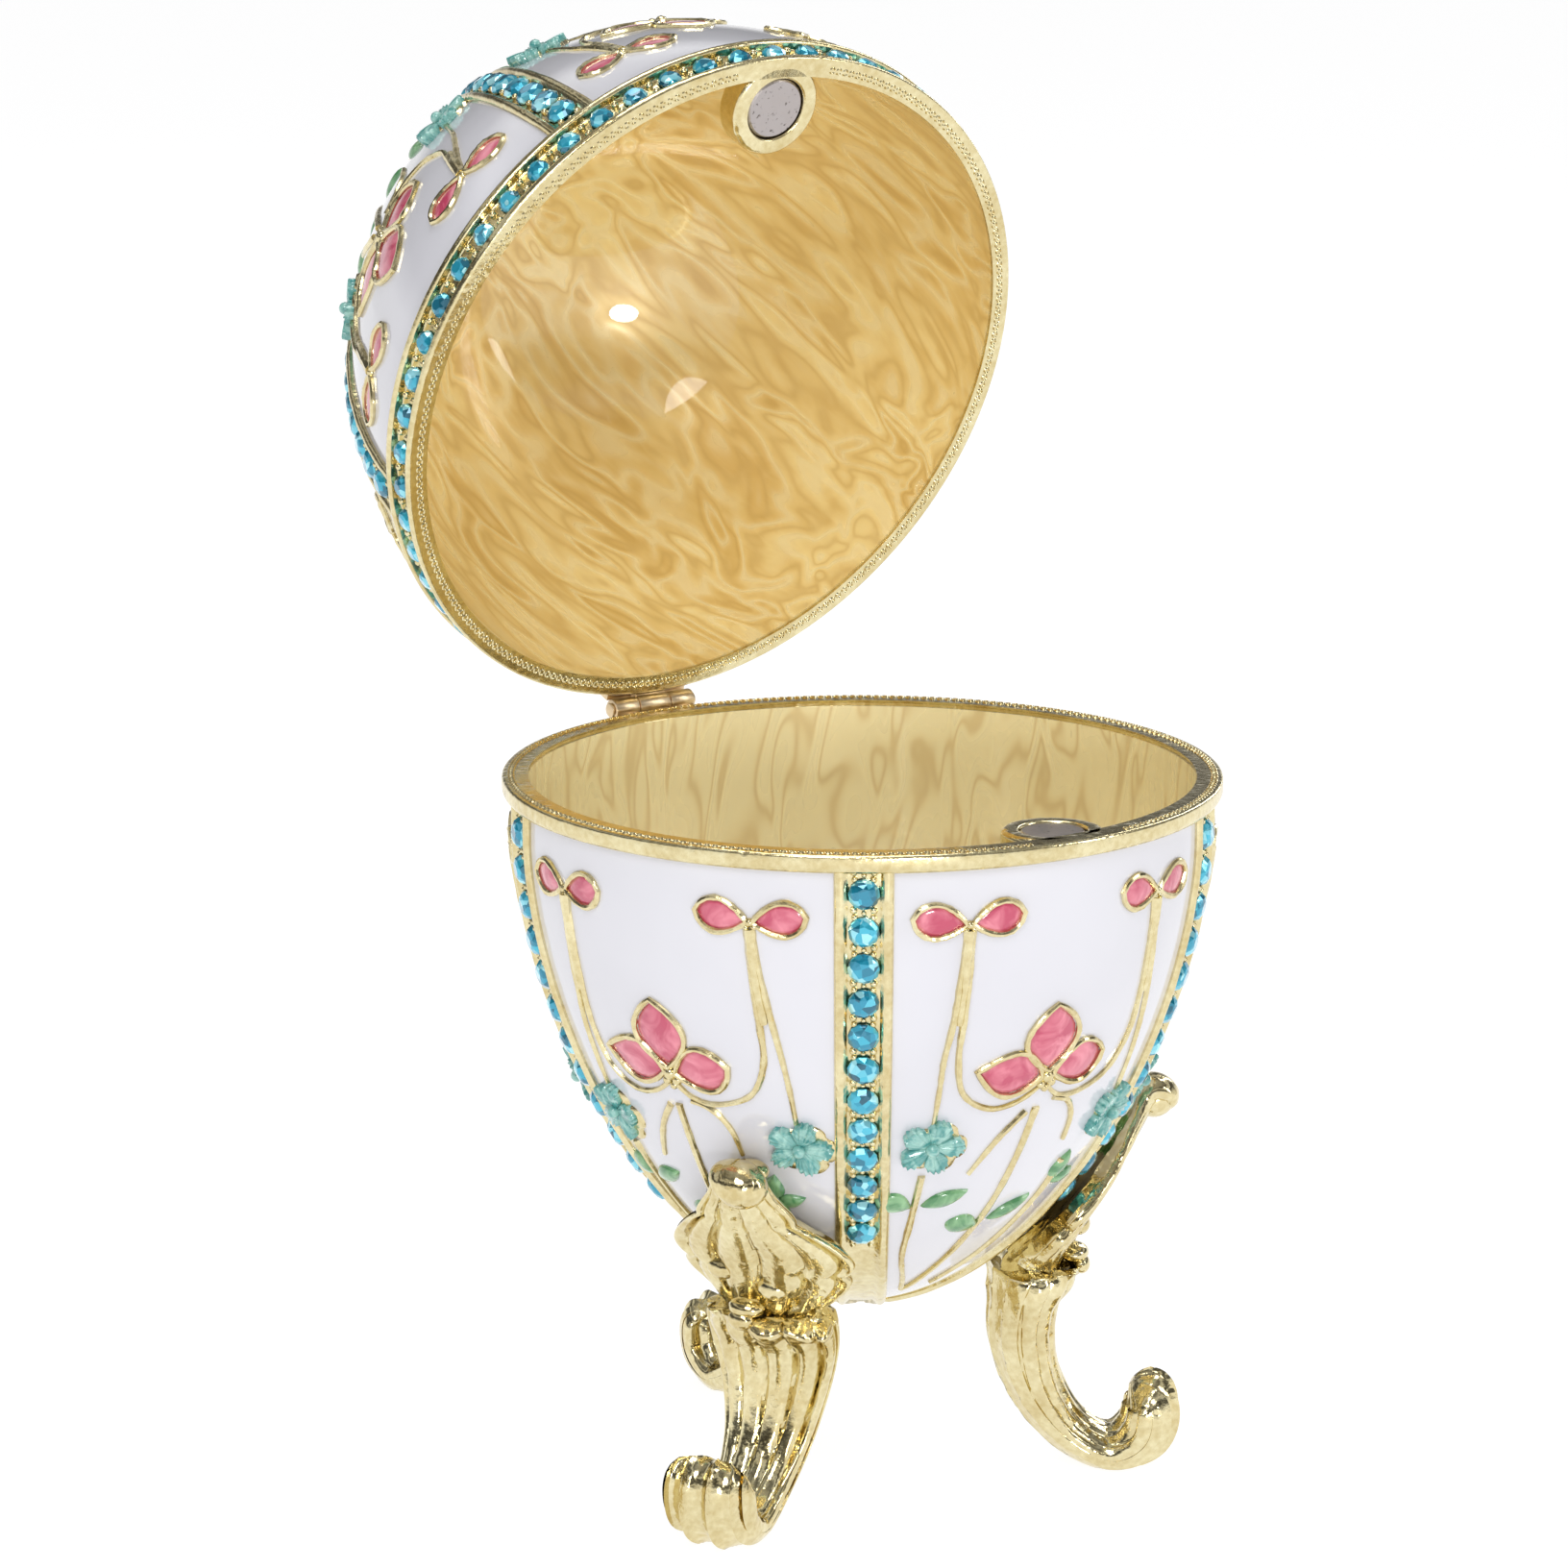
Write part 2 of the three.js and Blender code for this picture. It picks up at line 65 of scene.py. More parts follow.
bowlPlace = Matrix.Translation(rimCentre)
shutPlace = Matrix.Translation(rimCentre + Vector((0, 0, place["rimGap"] * mm)))
swing = Matrix.Translation(hingePoint) @ Matrix.Rotation(-openAngle, 4, "X") @ Matrix.Translation(-hingePoint)
lidPlace = swing @ shutPlace


# Camera, floor and light

stage = {
    "lens": 122.57,  # mm on a 36 mm sensor
    "eye": (-239.74, -325.81, 92.69),  # mm from the middle of the bowl's rim
    "look": (0.5655, 0.7932, -0.2259),
    "sensor": 36,
    "near": 0.01,  # metres
    "floorSize": 12.0,  # metres
    "floorColour": (0.22, 0.22, 0.225, 1),
    "floorRoughness": 0.9,
    "floorGlow": 0.89,
    # the room by height: the shader's ramp from straight down, over the horizon, to straight up
    "room": [(0.0, 0.8), (0.54, 0.85), (0.60, 0.12), (0.71, 0.04), (0.77, 0.8), (0.85, 0.08), (1.0, 0.5)],
    "roomStrength": 1.0,
    # name, place from the rim's middle in metres, width, height, power in watts
    "lamps": [
        ("windowLeft", (-0.40, -0.34, 0.46), 0.28, 0.40, 1.7),
        ("windowRight", (0.45, -0.50, 0.30), 0.18, 0.45, 0.9),
        ("overhead", (0.05, 0.15, 0.75), 0.45, 0.45, 2.1),
        ("backStrip", (0.60, 0.28, 0.30), 0.10, 0.5, 0.9),
        ("front", (-0.26, -0.62, 0.04), 0.15, 0.09, 1.0),
    ],
}


def buildCamera():
    camera = bpy.data.objects.new("camera", bpy.data.cameras.new("camera"))
    bpy.context.scene.collection.objects.link(camera)
    camera.data.lens = stage["lens"]
    camera.data.sensor_width = stage["sensor"]
    camera.data.clip_start = stage["near"]
    camera.location = rimCentre + Vector(stage["eye"]) * mm
    camera.rotation_mode = "QUATERNION"
    camera.rotation_quaternion = Vector(stage["look"]).to_track_quat("-Z", "Y")
    bpy.context.scene.camera = camera


def buildFloor():
    bm = bmesh.new()
    bmesh.ops.create_grid(bm, x_segments=1, y_segments=1, size=stage["floorSize"] / 2)
    mesh = bpy.data.meshes.new("floor")
    bm.to_mesh(mesh)
    bm.free()
    floor = bpy.data.objects.new("floor", mesh)
    bpy.context.scene.collection.objects.link(floor)
    finish = Finish("paleFloor")
    finish.shade(baseColor=stage["floorColour"], roughness=stage["floorRoughness"])
    finish.shader.inputs["Emission Color"].default_value = (1, 1, 1, 1)
    finish.shader.inputs["Emission Strength"].default_value = stage["floorGlow"]
    mesh.materials.append(finish.material)


def buildRoom():
    world = bpy.data.worlds.new("studio")
    bpy.context.scene.world = world
    world.use_nodes = True
    nodes, links = world.node_tree.nodes, world.node_tree.links
    where = nodes.new("ShaderNodeTexCoord")
    split = nodes.new("ShaderNodeSeparateXYZ")
    level = nodes.new("ShaderNodeMapRange")
    level.inputs["From Min"].default_value = -1
    ramp = nodes.new("ShaderNodeValToRGB")
    setStops(ramp.color_ramp, [(position, (light, light, light, 1)) for position, light in stage["room"]])
    links.new(where.outputs["Generated"], split.inputs[0])
    links.new(split.outputs["Z"], level.inputs["Value"])
    links.new(level.outputs[0], ramp.inputs["Fac"])
    links.new(ramp.outputs["Color"], nodes["Background"].inputs["Color"])
    nodes["Background"].inputs["Strength"].default_value = stage["roomStrength"]
    bpy.context.scene.view_settings.view_transform = "Standard"


def buildLamps():
    for name, spot, width, height, power in stage["lamps"]:
        light = bpy.data.lights.new(name, "AREA")
        light.shape = "ELLIPSE"
        light.size = width
        light.size_y = height
        light.energy = power
        lamp = bpy.data.objects.new(name, light)
        bpy.context.scene.collection.objects.link(lamp)
        lamp.location = rimCentre + Vector(spot)
        lamp.rotation_mode = "QUATERNION"
        lamp.rotation_quaternion = (-Vector(spot)).to_track_quat("-Z", "Y")


def setStops(ramp, stops):
    while len(ramp.elements) < len(stops):
        ramp.elements.new(0.5)
    for element, (position, colour) in zip(ramp.elements, stops):
        element.position = position
        element.color = colour


# Shader maths: a Wire is one output of a node, and its operators add Math nodes

class Wire:
    def __init__(self, finish, socket):
        self.finish = finish
        self.socket = socket

    def maths(self, operation, *others):
        values = {i: other for i, other in enumerate((self, *others))}
        return self.finish.node("ShaderNodeMath", {"operation": operation}, values)

    def __add__(self, other):
        return self.maths("ADD", other)

    def __sub__(self, other):
        return self.maths("SUBTRACT", other)

    def __mul__(self, other):
        return self.maths("MULTIPLY", other)

    def __pow__(self, other):
        return self.maths("POWER", other)

    def __radd__(self, other):
        return self.maths("ADD", other)

    def __rmul__(self, other):
        return self.maths("MULTIPLY", other)

    def __rsub__(self, other):
        return self.finish.node("ShaderNodeMath", {"operation": "SUBTRACT"}, {0: other, 1: self})

    def clip(self, low, high):
        return self.finish.node(
            "ShaderNodeMapRange", {"clamp": True}, {"Value": self, "From Min": low, "From Max": high})


# One material and the nodes that make it
class Finish:
    def __init__(self, name):
        self.material = bpy.data.materials.new(name)
        self.material.use_nodes = True
        self.tree = self.material.node_tree
        self.shader = self.tree.nodes["Principled BSDF"]

    def node(self, kind, settings=None, values=None, output=0):
        made = self.tree.nodes.new(kind)
        for name, value in (settings or {}).items():
            if name == "stops":
                setStops(made.color_ramp, value)
            else:
                setattr(made, name, value)
        for name, value in (values or {}).items():
            self.feed(made.inputs[name], value)
        return Wire(self, made.outputs[output])

    def feed(self, socket, value):
        if isinstance(value, Wire):
            self.tree.links.new(value.socket, socket)
        else:
            socket.default_value = value

    def coords(self, turn=(0, 0, 0), scale=(1, 1, 1)):
        where = self.node("ShaderNodeTexCoord", output="Object")
        if turn == (0, 0, 0) and scale == (1, 1, 1):
            return where
        turned = self.node("ShaderNodeMapping", {}, {"Vector": where, "Rotation": turn})
        return self.node("ShaderNodeMapping", {}, {"Vector": turned, "Scale": scale})

    def grain(self, where, scale, detail=2.0, distortion=0.0):
        return self.node("ShaderNodeTexNoise", {}, {
            "Vector": where, "Scale": scale, "Detail": detail, "Distortion": distortion})

    def blend(self, factor, a, b):
        return self.node("ShaderNodeMix", {"data_type": "RGBA"}, {0: factor, 6: a, 7: b}, output=2)

    def bump(self, height, strength, distance):
        return self.node("ShaderNodeBump", {}, {"Height": height, "Strength": strength, "Distance": distance})

    def shade(self, baseColor, roughness, metallic=0.0, normal=None, coat=0.0, coatRoughness=0.05, ior=1.5):
        self.feed(self.shader.inputs["Base Color"], baseColor)
        self.feed(self.shader.inputs["Roughness"], roughness)
        self.feed(self.shader.inputs["Metallic"], metallic)
        self.feed(self.shader.inputs["Coat Weight"], coat)
        self.shader.inputs["Coat Roughness"].default_value = coatRoughness
        self.shader.inputs["IOR"].default_value = ior
        if normal is not None:
            self.feed(self.shader.inputs["Normal"], normal)
        return self.material


enamel = {
    "white": ((0.67, 0.665, 0.71, 1), (0.71, 0.705, 0.75, 1)),  # cloudy, from the dark to the light tone
    "cloud": 55, "ripple": 130,  # grains to the metre
    "coat": 0.8, "coatRoughness": 0.03,
    # tinted fills: dark tone, light tone and grain
    "rose": ((0.52, 0.055, 0.12, 1), (0.80, 0.25, 0.32, 1), 420),
    "leaf": ((0.08, 0.25, 0.10, 1), (0.27, 0.50, 0.25, 1), 620),
    "turquoise": ((0.07, 0.31, 0.29, 1), (0.35, 0.62, 0.55, 1), 900),
    "tintRoughness": 0.04,
}


def whiteEnamel():
    finish = Finish("whiteEnamel")
    where = finish.coords()
    cloud = finish.grain(where, enamel["cloud"], 3)
    colour = finish.blend(cloud.clip(0.35, 0.65), *enamel["white"])
    ripple = finish.grain(where, enamel["ripple"], 2)
    return finish.shade(colour, 0.10 + 0.05 * cloud, normal=finish.bump(ripple, 0.25, 0.0004),
                        coat=enamel["coat"], coatRoughness=enamel["coatRoughness"])


def tintedEnamel(name):
    deep, light, scale = enamel[name]
    finish = Finish(f"{name}Enamel")
    cloud = finish.grain(finish.coords(), scale, 3, 1.2)
    colour = finish.blend(cloud.clip(0.38, 0.66), deep, light)
    return finish.shade(colour, 0.12 + 0.08 * cloud, normal=finish.bump(cloud, 0.2, 0.0003),
                        coat=enamel["coat"], coatRoughness=enamel["tintRoughness"])


gold = {
    # roughness, depth of the casting's grain, dark tone, light tone
    "castGold": (0.14, 0.3, (0.63, 0.51, 0.25, 1), (0.83, 0.75, 0.47, 1)),
    "legGold": (0.08, 0.42, (0.63, 0.51, 0.25, 1), (0.83, 0.75, 0.47, 1)),
    "hingeGold": (0.26, 0.12, (0.66, 0.49, 0.29, 1), (0.84, 0.69, 0.46, 1)),
    "broad": 210, "fine": 1700, "pits": 800.0,  # grains to the metre
}


def castGold(name):
    rough, relief, deep, light = gold[name]
    finish = Finish(name)
    where = finish.coords()
    broad = finish.grain(where, gold["broad"], 3)
    fine = finish.grain(where, gold["fine"], 3)
    pits = finish.node("ShaderNodeTexVoronoi", {}, {"Vector": where, "Scale": gold["pits"]})
    tone = (broad * 0.5 + fine * 0.5).clip(0.34, 0.66)
    colour = finish.blend(tone, deep, light)
    height = fine * 0.3 + broad * 0.7 + pits.clip(0, 0.35) * 0.3
    return finish.shade(colour, rough + 0.12 * fine, metallic=1.0,
                        normal=finish.bump(height, relief, 0.0004))


pearl = {
    # the way that the flames run, and how far the colour is washed towards the light tone: painted light,
    # which makes the bowl's lining lighter than the lid's
    "bowlPearl": ((0.15, 0.0, 1.0), 0.9),
    "lidPearl": ((0.48, -0.54, -0.69), 0.02),
    "stretch": 0.3, "bend": 115, "shift": 0.0055,
    "flame": 320, "drift": 125, "streak": 900,
    "veins": (26, 20),  # how closely the veins follow flame and drift
    "body": ((0.74, 0.51, 0.16, 1), (0.93, 0.745, 0.33, 1)),
    # the light tone: colour of the pale veins, and of the painted light washed over the bowl's lining
    "light": (0.95, 0.85, 0.52, 1),
    "dark": (0.56, 0.35, 0.09, 1),
}


def pearlEnamel(name):
    flow, paintedLightWash = pearl[name]
    finish = Finish(name)
    turn = Vector(flow).rotation_difference(Vector((0, 0, 1))).to_euler()
    where = finish.coords(turn=tuple(turn), scale=(1, 1, pearl["stretch"]))
    bend = colourOf(finish.grain(where, pearl["bend"], 1))
    shift = finish.node("ShaderNodeVectorMath", {"operation": "SCALE"}, {0: bend, "Scale": pearl["shift"]})
    warped = finish.node("ShaderNodeVectorMath", {"operation": "ADD"}, {0: where, 1: shift})
    flame = finish.grain(warped, pearl["flame"], 1, 0.5)
    drift = finish.grain(warped, pearl["drift"], 1, 0.3)
    streak = finish.grain(where, pearl["streak"], 2, 0.6)
    often, slowly = pearl["veins"]
    vein = (flame * often + drift * slowly).maths("SINE") * 0.5 + 0.5
    tone = (flame * 0.35 + drift * 0.4 + streak * 0.25).clip(0.38, 0.6)
    body = finish.blend(tone, *pearl["body"])
    # painted light: the wash lifts the whole lining towards the light tone, on top of the pale veins
    lit = finish.blend(paintedLightWash + (vein ** 3) * 0.5, body, pearl["light"])
    colour = finish.blend(((1 - vein) ** 6) * 0.4, lit, pearl["dark"])
    return finish.shade(colour, 0.38 - 0.12 * vein, metallic=0.12, normal=finish.bump(flame, 0.1, 0.0003),
                        coat=1.0, coatRoughness=0.03)


def colourOf(wire):
    return Wire(wire.finish, wire.socket.node.outputs["Color"])


gem = {
    "facets": 1500.0,
    # facet colours from near black to pale: the stone's own turquoise, with painted dark reflections and
    # painted glints
    "tonesAndPaintedGlints": [(0.0, (0.004, 0.10, 0.16, 1)), (0.35, (0.01, 0.30, 0.46, 1)), (0.7, (0.05, 0.50, 0.68, 1)),
              (1.0, (0.45, 0.88, 0.95, 1))],
    "roughness": 0.07, "metallic": 0.4, "coatRoughness": 0.02, "ior": 1.6,
}


def cutStone():
    finish = Finish("blueStone")
    places = {"Vector": finish.coords(), "Scale": gem["facets"]}
    # each facet cell takes a random colour from the ramp: painted glints and painted dark reflections over
    # the stone's turquoise
    facets = finish.node("ShaderNodeTexVoronoi", {}, places, output="Color")
    glint = finish.node("ShaderNodeSeparateColor", {}, {0: facets})
    colour = finish.node("ShaderNodeValToRGB", {"stops": gem["tonesAndPaintedGlints"]}, {"Fac": glint})
    tilt = finish.node("ShaderNodeSeparateColor", {}, {0: facets}, output=1)
    return finish.shade(colour, gem["roughness"], metallic=gem["metallic"],
                        normal=finish.bump(tilt, 0.5, 0.0003), coat=1.0,
                        coatRoughness=gem["coatRoughness"], ior=gem["ior"])


steel = {"broad": 700, "specks": 2600, "bare": (0.46, 0.42, 0.41, 1), "stain": (0.16, 0.14, 0.13, 1)}


def magnetSteel():
    finish = Finish("magnetSteel")
    where = finish.coords()
    broad = finish.grain(where, steel["broad"], 4, 0.8)
    specks = finish.grain(where, steel["specks"], 2)
    colour = finish.blend(specks.clip(0.62, 0.72), steel["bare"], steel["stain"])
    return finish.shade(colour, 0.22 + 0.3 * broad, metallic=1.0, normal=finish.bump(broad, 0.4, 0.0002))


# Meshes

# One finished piece: sharp is the angle in degrees above which an edge is drawn sharp
def keepPiece(name, bm, material, body, matrix=None, sharp=40, replaces=()):
    bmesh.ops.recalc_face_normals(bm, faces=bm.faces)
    if matrix is not None:
        bmesh.ops.transform(bm, matrix=matrix, verts=bm.verts)
    mesh = bpy.data.meshes.new(name)
    for face in bm.faces:
        face.smooth = True
    bm.to_mesh(mesh)
    bm.free()
    mesh.set_sharp_from_angle(angle=math.radians(sharp))
    mesh.materials.append(material)
    piece = bpy.data.objects.new(name, mesh)
    bpy.context.scene.collection.objects.link(piece)
    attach(piece, body)
    if replaces:
        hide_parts(*replaces)


# A closed or pole-to-pole outline of (radius, height) in mm, turned round the upright axis
def spun(profile, steps):
    bm = bmesh.new()
    corners = [bm.verts.new((radius * mm, 0, height * mm)) for radius, height in profile]
    edges = [bm.edges.new(pair) for pair in zip(corners, corners[1:])]
    if profile[0][0] > 0:
        edges.append(bm.edges.new((corners[-1], corners[0])))
    bmesh.ops.spin(bm, geom=corners + edges, cent=(0, 0, 0), axis=(0, 0, 1), angle=math.tau,
                   steps=steps, use_merge=True)
    bmesh.ops.remove_doubles(bm, verts=bm.verts, dist=1e-6)
    return bm


# A capped tube whose every point is set by mapping(turn in radians, share along)
def lofted(turns, rings, mapping):
    bm = bmesh.new()
    made = bmesh.ops.create_cone(bm, cap_ends=True, segments=turns, radius1=1, radius2=1, depth=1)["verts"]
    upright = {edge for vert in made for edge in vert.link_edges
               if abs(edge.verts[0].co.z - edge.verts[1].co.z) > 0.5}
    bmesh.ops.subdivide_edges(bm, edges=list(upright), cuts=rings - 2, use_grid_fill=True)
    for vert in bm.verts:
        vert.co = mapping(math.atan2(vert.co.y, vert.co.x), vert.co.z + 0.5)
    return bm


# A closed lens: mapping takes a unit sphere's (x, y, z)
def pillow(bm, columns, rows, mapping):
    made = bmesh.ops.create_uvsphere(bm, u_segments=columns, v_segments=rows, radius=1)["verts"]
    for vert in made:
        vert.co = mapping(vert.co.x, vert.co.y, vert.co.z)


# The curve from q to r, with p before and s behind them
def curved(p, q, r, s, t):
    bend = 2 * p - 5 * q + 4 * r - s
    twist = 3 * q - p - 3 * r + s
    return 0.5 * (2 * q + (r - p) * t + bend * t * t + twist * t ** 3)


# A smooth line through a few points of any size
def smoothPath(points, steps):
    path = []
    padded = [points[0], *points, points[-1]]
    for i in range(len(points) - 1):
        a, b, c, d = padded[i:i + 4]
        for step in range(steps):
            path.append(tuple(curved(*four, step / steps) for four in zip(a, b, c, d)))
    path.append(tuple(points[-1]))
    return path


# Round wires, each a list of (point, radius) and whether it closes, as one mesh
def wireMesh(name, wires, sides):
    curve = bpy.data.curves.new(name, "CURVE")
    curve.dimensions = "3D"
    curve.bevel_depth = 1.0
    curve.bevel_resolution = sides
    curve.use_fill_caps = True
    for points, closed in wires:
        line = curve.splines.new("POLY")
        line.points.add(len(points) - 1)
        for target, (point, radius) in zip(line.points, points):
            target.co = (*point, 1)
            target.radius = radius
        line.use_cyclic_u = closed
    carrier = bpy.data.objects.new(name, curve)
    bpy.context.scene.collection.objects.link(carrier)
    bpy.context.view_layer.update()
    depsgraph = bpy.context.evaluated_depsgraph_get()
    mesh = bpy.data.meshes.new_from_object(carrier.evaluated_get(depsgraph))
    bm = bmesh.new()
    bm.from_mesh(mesh)
    bpy.data.objects.remove(carrier)
    bpy.data.meshes.remove(mesh)
    return bm


# Bowl and lid: shells of enamel over a gold casting, lined with pearl enamel

bowl = {
    "body": 27.3, "height": 42.6, "shoulder": 3.3, "power": 1.673, "round": 0.553,
    "rimHeight": 1.4, "side": -1, "name": "bowl", "rideOn": "base",
    "rowStart": 3.0, "rowStones": 12,
}
lid = {
    "body": 28.0, "height": 33.3, "shoulder": 1.7, "power": 1.587, "round": 0.445,
    "rimHeight": 3.4, "side": 1, "name": "lid", "rideOn": "lid",
    "rowStart": 5.2, "rowStones": 10,
}
shell = {
    "wall": 1.2, "enamel": 0.3, "lining": 0.3,
    "inside": 0.3, "liningStart": 0.55,  # where they start, measured from the rim plane
    "overlap": 0.05,  # how far the enamel runs under the edge of the rim
    "round": 0.25,  # of the rim's corners
    "panels": 5, "steps": 160, "rows": 56,
}
bowl["matrix"] = bowlPlace
lid["matrix"] = lidPlace


def ovalRadius(oval, height):
    rise = min(max((height - oval["shoulder"]) / (oval["height"] - oval["shoulder"]), 0), 1)
    return oval["body"] * (1 - rise ** oval["power"]) ** oval["round"]


def ovalSlope(oval, height):
    step = 0.02
    low, high = max(height - step, 0), min(height + step, oval["height"])
    return (ovalRadius(oval, high) - ovalRadius(oval, low)) / (high - low)


# A point on a casting in mm, at degrees round it and mm from its rim plane, before it is placed
def onShell(oval, azimuth, height, lift=0.0):
    angle = math.radians(azimuth)
    normal = Vector((1, 0, -ovalSlope(oval, height))).normalized()
    radius = ovalRadius(oval, height) + normal.x * lift
    rise = height + normal.z * lift
    return Vector((radius * math.cos(angle), radius * math.sin(angle), oval["side"] * rise)) * mm


# A point dx sideways and dy towards the pole from a place on a casting
def nearby(oval, azimuth, height, dx, dy, lift=0.0):
    rise = dy / math.hypot(1, ovalSlope(oval, height))
    at = min(height + rise, oval["height"] - 0.5)
    return onShell(oval, azimuth + math.degrees(dx / ovalRadius(oval, at)), at, lift)


# Points (radius, height) from the pole to a height above the rim, along the shell moved by lift
def ovalLine(oval, start, lift, rows):
    line = [(0.0, oval["height"] + lift)]
    for row in range(1, rows + 1):
        height = start + (oval["height"] - start) * math.cos(row / rows * math.pi / 2)
        height = min(height, oval["height"] - 0.002)
        normal = Vector((1, -ovalSlope(oval, height))).normalized()
        line.append((max(ovalRadius(oval, height) + normal.x * lift, 0.02), height + normal.y * lift))
    return line


# A polyline with every inner corner rounded off
def rounded(points, size, steps=3):
    line = [points[0]]
    for before, corner, after in zip(points, points[1:], points[2:]):
        a, b, c = Vector(before), Vector(corner), Vector(after)
        cut = min(size, (a - b).length * 0.45, (c - b).length * 0.45)
        start, end = b + (a - b).normalized() * cut, b + (c - b).normalized() * cut
        for step in range(steps + 1):
            t = step / steps
            point = start.lerp(b, t).lerp(b.lerp(end, t), t)
            line.append((point.x, point.y))
    line.append(points[-1])
    return line


def sided(oval, profile):
    return [(radius, oval["side"] * height) for radius, height in profile]


def buildShell(oval, edge, finishes):
    wall, skin, lining = shell["wall"], shell["enamel"], shell["lining"]
    rows = shell["rows"]
    outer = ovalLine(oval, oval["rimHeight"], -skin * 0.5, rows)
    inner = ovalLine(oval, shell["inside"], -wall + lining * 0.5, rows)
    metal = outer + rounded(edge + [(oval["body"] - wall - lining * 0.5, 0.0)], shell["round"])
    metal += [(inner[-1][0], shell["inside"])] + inner[::-1]
    keepPiece(f"{oval['name']}_casting", spun(sided(oval, metal), shell["steps"]), finishes["gold"],
              oval["rideOn"], oval["matrix"], replaces=[oval["name"]])

    start = oval["rimHeight"] - shell["overlap"]
    outside = ovalLine(oval, start, 0.0, rows)
    inside = ovalLine(oval, start, -skin, rows)
    skinLine = outside[:-1] + [(outside[-1][0] - 0.02, outside[-1][1])] + inside[::-1]
    keepPiece(f"{oval['name']}_enamel", spun(sided(oval, skinLine), shell["steps"]), finishes["white"],
              oval["rideOn"], oval["matrix"])

    near = ovalLine(oval, shell["liningStart"], -wall, rows)
    far = ovalLine(oval, shell["liningStart"], -wall + lining, rows)
    keepPiece(f"{oval['name']}_lining", spun(sided(oval, near + far[::-1]), shell["steps"]),
              finishes[f"{oval['name']}Pearl"], oval["rideOn"], oval["matrix"])


rim = {
    "sunk": 0.1,  # how far a rim starts inside its shell
    "bowlFlare": 0.45, "bowlLip": 1.05,
    "lidFlare": 0.42, "lidOverhang": 0.3, "lip": 0.7,
    "band": 2.1, "bandDepth": 0.375,  # the channel of the lid's stone band
}


def buildShells(finishes):
    sunk = rim["sunk"]
    bowlEdge = [(bowl["body"] - sunk, bowl["rimHeight"] + sunk),
                (bowl["body"] + rim["bowlFlare"], bowl["rimHeight"]),
                (place["rimRadius"], rim["bowlLip"]), (place["rimRadius"], 0.0)]
    buildShell(bowl, bowlEdge, finishes)

    outerLip = place["rimRadius"] + rim["lidOverhang"]
    floor = lid["body"] - rim["bandDepth"]
    border = lid["body"] + rim["lidFlare"]
    top = rim["lip"] + rim["band"]
    lidEdge = [(lid["body"] - sunk, lid["rimHeight"] + sunk), (border, lid["rimHeight"]), (border, top),
               (floor, top), (floor, rim["lip"]), (outerLip, rim["lip"]), (outerLip, 0.0)]
    buildShell(lid, lidEdge, finishes)


# Rings of tiny stamped circles on both rims

stamp = {
    "circle": 0.24, "wire": 0.08, "pitch": 0.66, "reach": 27.3, "segments": 8,
    "clear": 0.16,  # radians to either side of the catch that stay bare
}


def addStamp(bm, oval, turn):
    middle = Vector((stamp["reach"] * math.cos(turn), stamp["reach"] * math.sin(turn), 0)) * mm
    flip = Matrix.Rotation(math.pi if oval["side"] > 0 else 0, 4, "X")
    proud = Matrix.Translation(middle - Vector((0, 0, oval["side"] * stamp["wire"] / 2 * mm)))
    # the outer and the inner slope of one round wire
    for radius in (stamp["circle"] + stamp["wire"], stamp["circle"] - stamp["wire"]):
        slope = bmesh.ops.create_cone(bm, segments=stamp["segments"], radius1=radius * mm,
                                      radius2=stamp["circle"] * mm, depth=stamp["wire"] * mm)["verts"]
        bmesh.ops.transform(bm, matrix=proud @ flip, verts=slope)


def buildStamps(finishes):
    for oval in (bowl, lid):
        bm = bmesh.new()
        count = round(math.tau * stamp["reach"] / stamp["pitch"])
        for i in range(count):
            turn = math.tau * i / count
            if abs(math.remainder(turn + math.pi / 2, math.tau)) >= stamp["clear"]:
                addStamp(bm, oval, turn)
        keepPiece(f"{oval['name']}_rim_stamps", bm, finishes["gold"], oval["rideOn"],
                  oval["matrix"], sharp=180)


# Jewelled strips: two rails and a channel, from the rim to the pole

strip = {
    "width": 4.4, "rail": 0.9, "height": 0.5, "floor": 0.04, "taper": 0.88,
    "root": 0.35,  # how deep its underside stands in the shell
    "wobble": 0.04,
    "short": 0.15,  # where it ends before the pole
    "turns": 52, "rings": 70,
}


def stripAzimuths():
    return [90 + 360 / shell["panels"] * i for i in range(shell["panels"])]


# Pairs of (length along the shell from its rim, height), for placing things by length
def alongTable(oval):
    pairs = [(0.0, 0.0)]
    steps = 400
    last = (ovalRadius(oval, 0), 0.0)
    for step in range(1, steps + 1):
        height = oval["height"] * math.sin(step / steps * math.pi / 2)
        here = (ovalRadius(oval, height), height)
        pairs.append((pairs[-1][0] + math.hypot(here[0] - last[0], here[1] - last[1]), height))
        last = here
    return pairs


# The value at x between a table's pairs
def between(table, x):
    if x <= table[0][0]:
        return table[0][1]
    for (x0, y0), (x1, y1) in zip(table, table[1:]):
        if x <= x1:
            return y0 + (y1 - y0) * (x - x0) / (x1 - x0)
    return table[-1][1]


# Outline of a strip: sideways place and lift, rails at both sides and the channel between
def stripSection(turn, half):
    lean = math.cos(turn)
    if math.sin(turn) < 0:
        return half * lean, -strip["root"]
    side = abs(lean) * half
    inner = half - strip["rail"]
    lift = strip["floor"]
    if side >= inner:
        swell = math.sin(math.pi * min((side - inner) / strip["rail"], 0.98))
        lift += (strip["height"] - strip["floor"]) * swell ** 0.45
    return math.copysign(side, lean), lift


